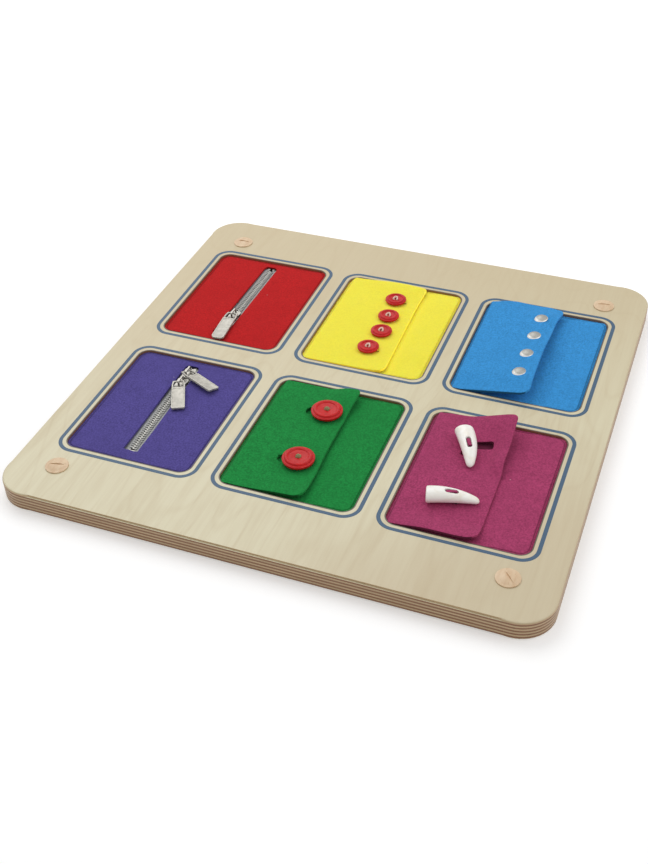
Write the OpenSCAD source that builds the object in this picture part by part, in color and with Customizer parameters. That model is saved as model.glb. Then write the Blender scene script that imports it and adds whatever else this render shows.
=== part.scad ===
// Wooden busy board: six felt windows that practise zips, buttons, snaps and toggles.
// It lies on its back. +X runs left to right, +Y from the near edge to the far edge, +Z up
// through the board. The origin is the middle of the back face.

/* [Board] */
// Width of the board, left to right
board_w = 480; // [460:0.5:600]
// Depth of the board, near edge to far edge
board_d = 480; // [460:0.5:600]
// Thickness of the board
board_t = 18; // [17:0.1:24]
// Radius of the board's four corners
board_corner_r = 30; // [12:1:40]
// Rounding of the board's outer edges
board_edge_r = 1.6; // [0.5:0.1:3]
// Thickness of the panel let into the back
back_t = 3.6; // [2.5:0.1:4.5]

/* [Windows] */
// Width of each window
window_w = 120.6; // [100:0.1:122]
// Height of each window, near to far
window_h = 152.5; // [127:0.5:154]
// Radius of each window's corners
window_r = 10.5; // [5:0.5:14]
// Rib of wood between two windows side by side
rib_x = 27.4; // [24:0.1:32]
// Rib of wood between the two rows
rib_y = 36.5; // [32:0.5:44]
// Thickness of the wooden lip in front of the felt
lip_t = 2.4; // [2.2:0.1:3.6]
// Width of the ledge that the felt is glued to, behind the lip
ledge_w = 8; // [5:0.5:9]

/* [Felt] */
// Thickness of the felt
felt_t = 2.4; // [1.8:0.01:3]
// Gap between a flap and the window's near and far edges
flap_side_gap = 1; // [0.6:0.1:3]
// Width of the yellow flap, from the window's left edge
yellow_flap_w = 83.3; // [75:0.1:90]
// Width of the blue flap
blue_flap_w = 76.3; // [71:0.1:88]
// Width of the green flap
green_flap_w = 78.3; // [75:0.1:90]
// Width of the magenta flap
magenta_flap_w = 78.3; // [73:0.1:90]
// Angle at which the blue flap stands open, in degrees
blue_open_angle = 9.4; // [4:0.1:20]

/* [Wall fixings] */
// Distance of each fixing hole from the board's two nearest edges
fixing_inset = 42; // [36:0.5:45]
// Diameter of the hole for the wall screw
fixing_d = 5.5; // [4:0.1:6.5]
// Diameter of the pocket above it, which takes the screw's head and the cap's stem
fixing_pocket_d = 13; // [10:0.1:15]
// Depth of that pocket
fixing_pocket_depth = 10; // [8:0.5:11]
// Diameter of a cap
cap_d = 20.7; // [17:0.1:25]
// Height of a cap's dome
cap_dome_h = 2.6; // [1.6:0.1:4]
// Length of a cap's stem
cap_stem_l = 6; // [4:0.5:7]

/* [Zips] */
// Width of the slit that a zip shows through
slit_w = 14; // [13:0.1:18]
// Wood-to-slit distance at the window's far edge
slit_far_margin = 7.9; // [5:0.1:14]
// Wood-to-slit distance at the window's near edge
slit_near_margin = 14.6; // [8:0.1:18]
// Distance of a zip left of the middle of its window
zip_shift = 2.4; // [0:0.1:6]
// Lean of the red zip's far end to the right, in degrees
red_zip_lean = 1; // [-2:0.1:2]
// Lean of the purple zip's far end to the right, in degrees
purple_zip_lean = -0.6; // [-2:0.1:2]
// Width of one half of the tape
tape_w = 12; // [9:0.5:16]
// Thickness of the tape
tape_t = 0.8; // [0.6:0.05:1.2]
// Distance from one tooth to the next in a row
tooth_pitch = 2.7; // [2.4:0.05:4]
// Length of a tooth across the row
tooth_l = 3; // [2.6:0.1:3.2]
// Height of a tooth, through the tape
tooth_h = 2.7; // [2.2:0.1:3]
// Open gap between the two rows of teeth
row_gap = 1.5; // [1.4:0.1:2]
// Length of a slider
slider_l = 15; // [13.5:0.5:18]
// Width of a slider at its nose
slider_w = 10.6; // [10.4:0.1:12.5]
// Distance of the red slider's middle from the slit's near end
red_slider_from_end = 34.2; // [10:0.1:90]
// Length of the red pull
red_pull_l = 46; // [30:0.5:50]
// Width of the red pull
red_pull_w = 12.6; // [10:0.1:14]
// Length of a purple pull
purple_pull_l = 42; // [28:0.5:46]
// Width of a purple pull
purple_pull_w = 12.4; // [10:0.1:14]
// Thickness of a pull
pull_t = 2; // [1.6:0.1:2.4]
// Sideways swing of the upper purple pull, in degrees
upper_pull_swing = 64; // [40:1:70]
// Sideways swing of the lower purple pull, in degrees
lower_pull_swing = 25; // [0:1:30]
// Roll of the upper purple pull about its own length, in degrees
upper_pull_roll = 14; // [0:1:18]

/* [Buttons] */
// Diameter of a small button
small_button_d = 20.8; // [17:0.1:25]
// Thickness of a small button
small_button_t = 3.6; // [3:0.1:5]
// Distance between two small buttons
small_button_pitch = 29; // [26:0.5:30]
// Distance of the row of small buttons from the window's left edge
small_button_x = 60.3; // [41:0.1:66]
// Diameter of a big button
big_button_d = 28.5; // [24:0.1:34.2]
// Thickness of a big button
big_button_t = 5; // [4:0.1:6]
// Distance between the two big buttons
big_button_pitch = 69; // [50:0.5:76]
// Distance of the big buttons from the window's left edge
big_button_x = 57.3; // [41:0.1:61]
// Height of a small button above the felt base
small_button_lift = 4; // [3:0.1:6]
// Height of a big button above the felt base
big_button_lift = 5.4; // [3.2:0.1:8]

/* [Snaps] */
// Diameter of a snap's cap
snap_cap_d = 12.6; // [10:0.1:15.1]
// Distance between two snaps
snap_pitch = 30.5; // [20:0.5:34]
// Distance of the row of snaps from the window's left edge
snap_x = 59.3; // [41:0.1:63]
// Diameter of the stud's knob
stud_d = 4.2; // [3.4:0.1:5]

/* [Toggles] */
// Length of a toggle
toggle_l = 44; // [38:0.5:55.2]
// Width of a toggle's thick end
toggle_w = 16.8; // [14:0.1:18]
// Width near a toggle's tip
toggle_tip_w = 5.8; // [4:0.1:7]
// Distance between the two toggle straps
toggle_pitch = 63; // [58:0.5:70]
// Distance of the straps from the window's left edge
toggle_x = 40.9; // [34:0.1:44]
// Direction of the upper toggle's tip, in degrees from +X
upper_toggle_angle = -64; // [-90:1:0]
// Direction of the lower toggle's tip, in degrees from +X
lower_toggle_angle = 15; // [-20:1:40]

/* [Hidden] */
$fn = 64;

wood = "burlywood";
felt_red = "crimson";
felt_purple = "darkslateblue";
felt_yellow = "gold";
felt_green = "forestgreen";
felt_blue = "dodgerblue";
felt_magenta = "mediumvioletred";
button_red = "firebrick";
nickel = "silver";

// Heights, counted from the back face
front_z = board_t;
felt_z = front_z - lip_t;
felt_back_z = felt_z - felt_t;
eps = 0.01;

// Places of the windows
pitch_x = window_w + rib_x;
pitch_y = window_h + rib_y;
pocket_w = window_w + 2 * ledge_w;
pocket_h = window_h + 2 * ledge_w;
pocket_r = ledge_w + 3.5;
fit_gap = 0.4;
window_left = -window_w / 2;
far = 0.5;
near = -0.5;

// The back panel and its screws
back_margin = 10;
back_recess = 0.4;
back_w = 2 * pitch_x + pocket_w + 2 * back_margin;
back_h = pitch_y + pocket_h + 2 * back_margin;
back_screw_inset = 6.5;
back_screw_x = back_w / 2 - back_screw_inset;
back_screw_y = back_h / 2 - back_screw_inset;
back_screw_d = 3;
back_screw_head_d = 5.6;
back_screw_l = 11;
drive_w = 3.2;
drive_t = 0.7;
drive_depth = 1;
pilot_gap = 0.05;

// Wall fixings
fixing_x = board_w / 2 - fixing_inset;
fixing_y = board_d / 2 - fixing_inset;
cap_gap = 0.05;
cap_stem_wall = 2;
cap_slot_w = 1.8;
cap_slot_depth = 1.1;

// Flaps: a root strip under the lip, a short double bend, and a plate on top of the base.
// A flap that opens folds back round the lip's upper edge
flap_lift = 0.2;
flap_z = felt_z + flap_lift;
bend_x = window_left + 0.8;
bend_w = 3.4;
base_cut = 5;
flap_near_corner_r = 9.5;
flap_far_corner_r = 4;
flap_hinge_x = window_left;
flap_hinge_z = front_z - 0.25;
flap_l = window_h - 2 * flap_side_gap;
slot_end_gap = 2.2;
big_slot_w = 10;
big_slot_l = big_button_d + 4;
small_slot_w = 4.2;
small_slot_l = small_button_d - 2;
upper_slot_l = 30;
upper_slot_shift = [7.9, 0.6];
lower_slot_l = 25;
lower_slot_w = 8;
lower_slot_shift = -4.6;

// Zips, in their own frame: the slit's middle, with the tape against the felt's back
slit_l = window_h - slit_far_margin - slit_near_margin;
slit_mid_y = (slit_near_margin - slit_far_margin) / 2;
tooth_mid_z = felt_back_z - tape_t / 2;
tape_overrun = 5;
tape_edge_x = row_gap / 2 + 1.15;
stop_l = 2.2;
chain_l = slit_l - 2 * stop_l - 0.6;
teeth_in_row = floor((chain_l - 1.5) / tooth_pitch);
tooth_w = 1.5;
tooth_head_w = 1;
slide_gap = 0.25;
plate_t = 1.4;
plate_top_z = tooth_mid_z + tooth_h / 2 + slide_gap + plate_t;
plate_bottom_z = tooth_mid_z - tooth_h / 2 - slide_gap - plate_t;
flange_clear = 0.35;
divider_w = 1.1;
divider_l = 3.6;
bail_l = 10.6;
bail_w = 1.6;
bail_t = 1.1;
eye_t = 1.4;
eye_bar = 1.4;
eye_l = 9;
eye_w = 10.6;
eye_side = 1.35;
field_rim = 1.2;
field_depth = 0.35;
bar_from_leg = 2.3;
upper_pull_along = 2.1;
upper_slider_backoff = 1;
pull_z = front_z + 0.3;
bar_z = pull_z + eye_t / 2;
bail_inner_z = bar_z + 1.25;
leg_y = -bail_l / 2 + bail_t / 2;
slider_end_gap = stop_l + 0.7;
red_slider_y = -slit_l / 2 + red_slider_from_end;
upper_slider_y = slit_l / 2 - slider_end_gap - slider_l / 2 - upper_slider_backoff;
slider_spacing = slider_l + 1;
lower_slider_y = upper_slider_y - slider_spacing;

// Buttons. The small ones sit a little off their row, as hand-sewn ones do
small_button_off = [-2, 0.3, 1.9, -1.6];
small_button_dy = [0.6, -0.8, 1, 0.8];
small_shank_d = 3.4;
big_shank_d = 4.6;
small_hole_at = 1.9;
big_hole_at = 1.9;
button_hole_d = 1.7;
thread_d = 1.1;
shank_gap = 0.1;
knot_d = 7;
knot_t = 1.2;
small_button_z = felt_z + small_button_lift;
big_button_z = felt_z + big_button_lift;
big_button_shift_y = 3.5;
small_dish = 0.55;
big_dish = 0.7;

// Snaps: the socket hangs under the flap and drops over the stud on the base
socket_d = 10;
socket_h = 1.7;
socket_wall_gap = 0.25;
stud_base_d = 9.4;
stud_base_h = 0.7;
stud_h = 1.5;
snap_cap_h = 3;
snap_post_d = 8.6;
snap_shift_y = 1;
snap_post_h = 1;
snap_hole_d = 3;

// Toggles
toggle_rest_gap = 0.3;
toggle_z = flap_z + felt_t + toggle_rest_gap;
toggle_hole_at = 3.6;
toggle_hole_d = 4.2;
toggle_bend = 1.8;
toggle_flat = 0.72;
toggle_shift_y = -2.3;
lower_toggle_shift_x = 4.5;
strap_from_thick_end = 21;
strap_w = 3;
strap_t = 2.2;
strap_foot_l = 9;
upper_slot_w = 2 * (toggle_hole_at + strap_t / 2 + 1);
groove_depth = 2.8;
horn_taper = 2.2;
horn_rings = 16;
horn_sides = 28;

// Shared shapes

// A rectangle with round corners, from its centre
module round_rect(w, h, r) {
    square([w - 2 * r, h], center = true);
    square([w, h - 2 * r], center = true);
    for (x = [-1, 1], y = [-1, 1])
        translate([x * (w / 2 - r), y * (h / 2 - r)]) circle(r);
}

// A slab with round corners and half-round arrises
module soft_slab(w, d, t, r, edge) {
    translate([0, 0, edge]) linear_extrude(t - 2 * edge) round_rect(w, d, r);
    linear_extrude(t) round_rect(w - 2 * edge, d - 2 * edge, r - edge);
    for (z = [edge, t - edge]) {
        for (s = [-1, 1]) {
            translate([s * (w / 2 - edge), 0, z])
                rotate([90, 0, 0]) cylinder(r = edge, h = d - 2 * r, center = true);
            translate([0, s * (d / 2 - edge), z])
                rotate([0, 90, 0]) cylinder(r = edge, h = w - 2 * r, center = true);
        }
        for (x = [-1, 1], y = [-1, 1])
            translate([x * (w / 2 - r), y * (d / 2 - r), z])
                rotate_extrude() translate([r - edge, 0]) circle(edge);
    }
}

// Puts its children at a window: col is -1, 0 or 1, and row is near or far
module at_window(col, row) {
    translate([col * pitch_x, row * pitch_y, 0]) children();
}

module at_all_windows() {
    for (col = [-1, 0, 1], row = [near, far]) at_window(col, row) children();
}

module at_back_screws() {
    for (x = [-1, 1], y = [-1, 0, 1])
        translate([x * back_screw_x, y * back_screw_y, 0]) children();
    for (x = [-1, 1], y = [-1, 0, 1])
        translate([x * pitch_x / 2, y * back_screw_y, 0]) children();
}

// Wood

module front_board() {
    color(wood) difference() {
        soft_slab(board_w, board_d, board_t, board_corner_r, board_edge_r);
        at_all_windows() {
            translate([0, 0, -1]) linear_extrude(board_t + 2)
                round_rect(window_w, window_h, window_r);
            translate([0, 0, -1]) linear_extrude(felt_z + 1)
                round_rect(pocket_w, pocket_h, pocket_r);
        }
        translate([0, 0, -1]) linear_extrude(back_t + 1)
            round_rect(back_w, back_h, pocket_r);
        at_back_screws() cylinder(d = back_screw_d + 2 * pilot_gap, h = back_recess + back_screw_l + 1);
        for (x = [-1, 1], y = [-1, 1]) translate([x * fixing_x, y * fixing_y, 0]) {
            translate([0, 0, -1]) cylinder(d = fixing_d, h = board_t + 2);
            translate([0, 0, front_z - fixing_pocket_depth])
                cylinder(d = fixing_pocket_d, h = fixing_pocket_depth + 1);
        }
    }
}

module back_panel() {
    color("tan") difference() {
        translate([0, 0, back_recess]) linear_extrude(back_t - back_recess - eps)
            round_rect(back_w - 2 * fit_gap, back_h - 2 * fit_gap, pocket_r - fit_gap);
        at_back_screws() screw_shape(pilot_gap);
    }
}

// A countersunk wood screw, point up, with its head flush with the panel
module screw_shape(gap = 0) {
    cone_h = (back_screw_head_d - back_screw_d) / 2;
    translate([0, 0, back_recess]) {
        cylinder(d = back_screw_d + 2 * gap, h = back_screw_l + gap);
        cylinder(d1 = back_screw_head_d + 2 * gap, d2 = back_screw_d + 2 * gap, h = cone_h);
    }
}

module back_screws() {
    color(nickel) at_back_screws() difference() {
        screw_shape();
        for (turn = [0, 90]) rotate([0, 0, turn])
            translate([-drive_w / 2, -drive_t / 2, back_recess - 1])
                cube([drive_w, drive_t, 1 + drive_depth]);
    }
}

// A turned cap: domed head with a shallow slot, and a hollow stem that plugs the pocket
module wall_cap(slot_angle) {
    dome_r = (pow(cap_d / 2, 2) + pow(cap_dome_h, 2)) / (2 * cap_dome_h);
    rim = 0.7;
    difference() {
        union() {
            translate([0, 0, front_z + rim]) intersection() {
                translate([0, 0, cap_dome_h - rim - dome_r]) sphere(dome_r);
                cylinder(d = cap_d, h = cap_dome_h);
            }
            translate([0, 0, front_z + cap_gap]) cylinder(d = cap_d - 0.6, h = rim + 0.2);
            translate([0, 0, front_z - cap_stem_l])
                cylinder(d = fixing_pocket_d - 2 * cap_gap, h = cap_stem_l + 0.2);
        }
        translate([0, 0, front_z - cap_stem_l - 1])
            cylinder(d = fixing_pocket_d - 2 * cap_stem_wall, h = cap_stem_l);
        rotate([0, 0, slot_angle])
            translate([-cap_d, -cap_slot_w / 2, front_z + cap_dome_h - cap_slot_depth])
                cube([2 * cap_d, cap_slot_w, cap_dome_h]);
    }
}

module cap_at(x, y, slot_angle) {
    color("navajowhite") translate([x * fixing_x, y * fixing_y, 0]) wall_cap(slot_angle);
}

// Felt bases

module felt_sheet() {
    translate([0, 0, felt_back_z]) linear_extrude(felt_t - eps)
        round_rect(pocket_w - 2 * fit_gap, pocket_h - 2 * fit_gap, pocket_r - fit_gap);
}

module zip_base(lean) {
    difference() {
        felt_sheet();
        translate([-zip_shift, slit_mid_y, 0]) rotate([0, 0, -lean])
            translate([-slit_w / 2, -slit_l / 2, 0]) cube([slit_w, slit_l, board_t]);
    }
}

// A base under a flap stops short on the left, where the flap's root takes its place
module flap_base() {
    difference() {
        felt_sheet();
        translate([-pocket_w, -pocket_h, 0])
            cube([pocket_w + window_left + base_cut, 2 * pocket_h, board_t]);
        children();
    }
}

module at_small_buttons() {
    for (i = [0:3]) small_button_place(i) children();
}

module small_button_place(i) {
    translate([
        window_left + small_button_x + small_button_off[i],
        (1.5 - i) * small_button_pitch + small_button_dy[i], 0
    ]) children();
}

module big_button_place(side) {
    translate([
        window_left + big_button_x, side * big_button_pitch / 2 + big_button_shift_y, 0
    ]) children();
}

module at_big_buttons() {
    for (side = [-1, 1]) big_button_place(side) children();
}

module at_snaps() {
    for (i = [0:3])
        translate([window_left + snap_x, (1.5 - i) * snap_pitch + snap_shift_y, 0]) children();
}

module toggle_place(side) {
    shift_x = side < 0 ? lower_toggle_shift_x : 0;
    translate([
        window_left + toggle_x + shift_x, side * toggle_pitch / 2 + toggle_shift_y, 0
    ]) children();
}

module yellow_felt() {
    color(felt_yellow) at_window(0, far) flap_base()
        at_small_buttons() cylinder(d = small_shank_d + 2 * shank_gap, h = board_t);
}

module green_felt() {
    color(felt_green) at_window(0, near) flap_base()
        at_big_buttons() cylinder(d = big_shank_d + 2 * shank_gap, h = board_t);
}

module blue_felt() {
    color(felt_blue) at_window(1, far) flap_base()
        at_snaps() cylinder(d = snap_hole_d + 2 * shank_gap, h = board_t);
}

module magenta_felt() {
    color(felt_magenta) at_window(1, near) flap_base() {
        toggle_place(1) strap_slits(upper_toggle_angle);
        toggle_place(-1) strap_slits(lower_toggle_angle);
    }
}

// Flaps

// Side view of a flap: root strip, double bend and plate, with the free edge raised by rise
module flap_profile(w, rise) {
    root_l = ledge_w - fit_gap;
    mid_x = bend_x + bend_w / 2;
    low_z = felt_back_z;
    translate([window_left - root_l, low_z]) square([root_l + bend_x - window_left, felt_t - eps]);
    translate([bend_x - eps, low_z]) square([bend_w + 2 * eps, felt_t - eps]);
    translate([bend_x + bend_w - felt_t / 2, low_z + felt_t / 2])
        square([felt_t / 2, flap_z + felt_t / 2 - low_z - felt_t / 2]);
    polygon([
        [mid_x, flap_z],
        [window_left + w, flap_z + rise],
        [window_left + w, flap_z + felt_t + rise],
        [mid_x, flap_z + felt_t]
    ]);
}

// Plan of a flap's plate: its left corners follow the window's, its right corners are its own
module flap_outline(w) {
    plate_left = bend_x;
    plate_w = window_left + w - plate_left;
    translate([plate_left + plate_w / 4 + window_r / 2, 0])
        round_rect(plate_w / 2 + window_r, flap_l, window_r);
    for (side = [-1, 1]) {
        corner_r = side < 0 ? flap_near_corner_r : flap_far_corner_r;
        intersection() {
            translate([plate_left + 3 * plate_w / 4 - corner_r / 2, 0])
                round_rect(plate_w / 2 + corner_r, flap_l, corner_r);
            translate([plate_left, side < 0 ? -flap_l : -eps])
                square([plate_w, flap_l + eps]);
        }
    }
}

module flap_sheet(w, rise = 0) {
    intersection() {
        rotate([90, 0, 0]) linear_extrude(flap_l, center = true) flap_profile(w, rise);
        union() {
            translate([-window_w, -window_h, 0]) cube([2 * window_w, 2 * window_h, felt_z]);
            linear_extrude(4 * board_t) flap_outline(w);
        }
    }
}

// A slot for a button or toggle, with round ends, from its centre
module slot_cut(l, w) {
    linear_extrude(4 * board_t) round_rect(l, w, w / 2 - eps);
}

module yellow_flap() {
    color(felt_yellow) at_window(0, far) difference() {
        flap_sheet(yellow_flap_w);
        at_small_buttons() slot_cut(small_slot_l, small_slot_w);
    }
}

module green_flap() {
    color(felt_green) at_window(0, near) difference() {
        flap_sheet(green_flap_w, 1.6);
        at_big_buttons() translate([-slot_end_gap, 0, 0]) slot_cut(big_slot_l, big_slot_w);
    }
}

module magenta_flap() {
    color(felt_magenta) at_window(1, near) difference() {
        flap_sheet(magenta_flap_w);
        toggle_place(1) translate(upper_slot_shift) slot_cut(upper_slot_l, upper_slot_w);
        toggle_place(-1) translate([lower_slot_shift, 0]) slot_cut(lower_slot_l, lower_slot_w);
    }
}

// Turns its children up about the edge that the blue flap folds round
module blue_opened() {
    translate([flap_hinge_x, 0, flap_hinge_z]) rotate([0, -blue_open_angle, 0])
        translate([-flap_hinge_x, 0, -flap_hinge_z]) children();
}

module blue_flap() {
    plate_x = bend_x + bend_w / 2;
    riser_h = flap_z - felt_back_z;
    root_l = ledge_w - fit_gap;
    color(felt_blue) at_window(1, far) {
        translate([window_left - root_l, -flap_l / 2, felt_back_z])
            cube([root_l + plate_x - window_left, flap_l, felt_t - eps]);
        intersection() {
            union() {
                translate([plate_x - felt_t / 2, -flap_l / 2, felt_back_z + felt_t / 2])
                    cube([felt_t, flap_l, riser_h]);
                blue_opened() translate([plate_x - felt_t / 4, 0, flap_z])
                    linear_extrude(felt_t) translate([0, -flap_l / 2]) square([felt_t, flap_l]);
            }
            linear_extrude(4 * board_t) flap_outline(blue_flap_w);
        }
        blue_opened() difference() {
            translate([0, 0, flap_z]) linear_extrude(felt_t) intersection() {
                flap_outline(blue_flap_w);
                translate([plate_x, -flap_l]) square([2 * window_w, 2 * flap_l]);
            }
            at_snaps() cylinder(d = snap_hole_d + 2 * shank_gap, h = 2 * board_t);
        }
    }
}

// Zips

module at_zip(row) {
    at_window(-1, row) translate([-zip_shift, slit_mid_y, 0])
        rotate([0, 0, row > 0 ? -red_zip_lean : -purple_zip_lean]) children();
}

module zip_tape() {
    for (s = [0, 1]) mirror([s, 0, 0])
        translate([tape_edge_x, -slit_l / 2 - tape_overrun, felt_back_z - tape_t])
            cube([tape_w, slit_l + 2 * tape_overrun, tape_t - eps]);
}

// One tooth of the right-hand row: a round-nosed head, and a body that clamps the tape's edge
module zip_tooth() {
    head_x = row_gap / 2 + tooth_head_w / 2;
    body_x = row_gap / 2 + 0.7;
    difference() {
        translate([0, 0, tooth_mid_z - tooth_h / 2]) linear_extrude(tooth_h) {
            translate([head_x, 0]) circle(d = tooth_head_w, $fn = 16);
            translate([head_x, -tooth_head_w / 2]) square([tooth_l / 2, tooth_head_w]);
            translate([body_x, -tooth_w / 2])
                square([row_gap / 2 + tooth_l - body_x, tooth_w]);
        }
        translate([tape_edge_x, -tooth_w, felt_back_z - tape_t])
            cube([tape_w, 2 * tooth_w, tape_t - eps]);
    }
}

module zip_teeth() {
    first = -(teeth_in_row - 1) / 2 * tooth_pitch;
    for (i = [0:teeth_in_row - 1]) {
        translate([0, first + i * tooth_pitch - tooth_pitch / 4, 0]) zip_tooth();
        translate([0, first + i * tooth_pitch + tooth_pitch / 4, 0]) mirror([1, 0, 0]) zip_tooth();
    }
}

// A folded clip at the far end of each row, and one bar across both rows at the near end
module zip_stops() {
    end_y = slit_l / 2 - 0.2;
    for (s = [0, 1]) mirror([s, 0, 0]) difference() {
        translate([row_gap / 2 + 0.4, end_y - stop_l, tooth_mid_z - tooth_h / 2])
            cube([tooth_l - 0.4, stop_l, tooth_h]);
        translate([tape_edge_x, 0, felt_back_z - tape_t])
            cube([tape_w, slit_l, tape_t - eps]);
    }
    difference() {
        translate([-row_gap / 2 - tooth_l, -end_y, tooth_mid_z - tooth_h / 2])
            cube([row_gap + 2 * tooth_l, stop_l, tooth_h]);
        for (s = [0, 1]) mirror([s, 0, 0])
            translate([tape_edge_x, -slit_l, felt_back_z - tape_t])
                cube([tape_w, slit_l, tape_t - eps]);
    }
}

// Outline of a slider's plate: broad round shoulders at the nose, narrower at the tail
module slider_outline() {
    nose_y = slider_l / 2;
    shoulder_r = slider_w / 4;
    tail_w = slider_w - 1.6;
    for (s = [-1, 1]) translate([s * (slider_w / 2 - shoulder_r), nose_y - shoulder_r])
        circle(shoulder_r);
    translate([-slider_w / 4, nose_y - 1.7 * shoulder_r]) square([slider_w / 2, shoulder_r]);
    polygon([
        [-slider_w / 2, nose_y - shoulder_r], [slider_w / 2, nose_y - shoulder_r],
        [slider_w / 2, nose_y - 2 * shoulder_r], [tail_w / 2, nose_y - slider_l / 2],
        [tail_w / 2, 1 - nose_y], [tail_w / 2 - 1, -nose_y],
        [1 - tail_w / 2, -nose_y], [-tail_w / 2, 1 - nose_y],
        [-tail_w / 2, nose_y - slider_l / 2], [-slider_w / 2, nose_y - 2 * shoulder_r]
    ]);
}

// The side walls that keep the teeth in, cut from the same outline
module slider_flanges() {
    inner = row_gap / 2 + tooth_l + slide_gap;
    difference() {
        slider_outline();
        translate([-inner, -slider_l]) square([2 * inner, 2 * slider_l]);
    }
}

module zip_slider() {
    top_plate_z = plate_top_z - plate_t;
    bottom_plate_z = plate_bottom_z + plate_t;
    top_flange_z = felt_back_z + flange_clear;
    bottom_flange_z = felt_back_z - tape_t - flange_clear;
    translate([0, 0, top_plate_z]) linear_extrude(plate_t) slider_outline();
    translate([0, 0, plate_bottom_z]) linear_extrude(plate_t) slider_outline();
    translate([0, 0, top_flange_z]) linear_extrude(top_plate_z - top_flange_z + eps)
        slider_flanges();
    translate([0, 0, bottom_plate_z - eps])
        linear_extrude(bottom_flange_z - bottom_plate_z + eps) slider_flanges();
    // the divider that parts the two rows at the nose
    translate([-divider_w / 2, slider_l / 2 - divider_l - 1.6, bottom_plate_z - eps])
        cube([divider_w, divider_l, top_plate_z - bottom_plate_z + 2 * eps]);
    slider_bail();
}

// The bridge that carries the pull, bent from one strip
module slider_bail() {
    outer_h = bail_inner_z + bail_t - plate_top_z;
    outer_r = 2;
    rotate([90, 0, 90]) linear_extrude(bail_w, center = true) difference() {
        translate([0, plate_top_z + outer_h / 2 - 0.1]) union() {
            round_rect(bail_l, outer_h + 0.2, outer_r);
            translate([-bail_l / 2, -outer_h / 2 - 0.1]) square([bail_l, outer_h / 2]);
        }
        translate([0, plate_top_z + outer_h / 2 - bail_t / 2]) union() {
            round_rect(bail_l - 2 * bail_t, outer_h - bail_t, outer_r - bail_t);
            translate([bail_t - bail_l / 2, -outer_h]) square([bail_l - 2 * bail_t, outer_h]);
        }
    }
}

// A pull in its own frame: it points along -Y from the bar, which lies on the X axis at y 0
module pull_shape(l, w, end_r) {
    neck_y = -eye_l - 1.5;
    body_l = l - eye_bar / 2 + neck_y;
    difference() {
        union() {
            translate([0, 0, pull_z]) linear_extrude(eye_t) polygon([
                [-eye_w / 2, eye_bar / 2], [eye_w / 2, eye_bar / 2],
                [w / 2, -eye_l * 0.55], [w / 2, neck_y - 1], [-w / 2, neck_y - 1],
                [-w / 2, -eye_l * 0.55]
            ]);
            translate([0, neck_y - body_l / 2, pull_z]) linear_extrude(pull_t)
                round_rect(w, body_l, end_r);
            translate([-w / 2, neck_y - body_l / 2, pull_z]) cube([w, body_l / 2, pull_t]);
        }
        translate([0, 0, pull_z - 1]) linear_extrude(eye_t + 2) polygon([
            [-eye_w / 2 + eye_side, -eye_bar / 2], [eye_w / 2 - eye_side, -eye_bar / 2],
            [w / 2 - eye_side, -eye_l * 0.55], [w / 2 - eye_side, -eye_l],
            [eye_side - w / 2, -eye_l], [eye_side - w / 2, -eye_l * 0.55]
        ]);
        // the sunken field inside a raised rim
        translate([0, neck_y - body_l / 2, pull_z + pull_t - field_depth]) linear_extrude(pull_t)
            round_rect(w - 2 * field_rim, body_l - 2 * field_rim, end_r * 0.6);
    }
}

// Hooks a pull round the bail's near leg, swung sideways by swing, slid along its bar and
// rolled about its own length
module hang_pull(slider_y, swing, along = 0, roll = 0) {
    translate([0, slider_y + leg_y, 0]) rotate([0, 0, swing])
        translate([along, bar_from_leg, bar_z]) rotate([0, roll, 0])
            translate([0, 0, -bar_z]) children();
}

// Buttons

// A turned button with its back at z 0: a raised rim, a dished face and sewing holes
module button(d, t, dish, hole_at, holes) {
    rim_w = d * 0.13;
    dish_z = t * dish;
    difference() {
        rotate_extrude() difference() {
            union() {
                translate([0, 0]) square([d / 2 - t * 0.35, t * 0.7]);
                translate([0, t * 0.3]) square([d / 2, t * 0.3]);
                translate([d / 2 - t * 0.35, t * 0.35]) intersection() {
                    circle(t * 0.35);
                    translate([0, -t * 0.35]) square(t);
                }
                translate([d / 2 - rim_w, t - rim_w / 2]) circle(rim_w / 2);
                translate([d / 2 - 1.5 * rim_w, 0]) square([rim_w, t - rim_w / 2]);
                translate([d / 2 - rim_w, 0]) square([rim_w * 0.6, t * 0.6]);
            }
            translate([0, dish_z]) square([d / 2 - 1.5 * rim_w, t]);
        }
        for (turn = holes) rotate([0, 0, turn]) translate([hole_at, 0, -1])
            cylinder(d = button_hole_d, h = t + 2, $fn = 24);
    }
}

// The stitch over a button's face: a bar between two holes, with its ends down through them
module stitch(face_z, hole_at) {
    top_z = face_z + thread_d / 2;
    rotate([0, 90, 0]) translate([-top_z, 0, -hole_at]) cylinder(d = thread_d, h = 2 * hole_at, $fn = 16);
    for (s = [-1, 1]) translate([s * hole_at, 0, 0]) {
        cylinder(d = thread_d, h = top_z, $fn = 16);
        translate([0, 0, top_z]) sphere(d = thread_d, $fn = 16);
    }
}

module small_button(i) {
    color(button_red) at_window(0, far) small_button_place(i)
        translate([0, 0, small_button_z])
            button(small_button_d, small_button_t, small_dish, small_hole_at, [90, 270]);
}

module small_button_thread(i) {
    color("mistyrose") at_window(0, far) small_button_place(i)
        translate([0, 0, small_button_z]) rotate([0, 0, 90])
            stitch(small_button_t * small_dish, small_hole_at);
}

module big_button(side) {
    color(button_red) at_window(0, near) big_button_place(side)
        translate([0, 0, big_button_z])
            button(big_button_d, big_button_t, big_dish, big_hole_at, [45, 135, 225, 315]);
}

module big_button_thread(side) {
    color("darkolivegreen") at_window(0, near) big_button_place(side)
        translate([0, 0, big_button_z]) for (turn = [45, 135]) rotate([0, 0, turn])
            stitch(big_button_t * big_dish, big_hole_at);
}

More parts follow.
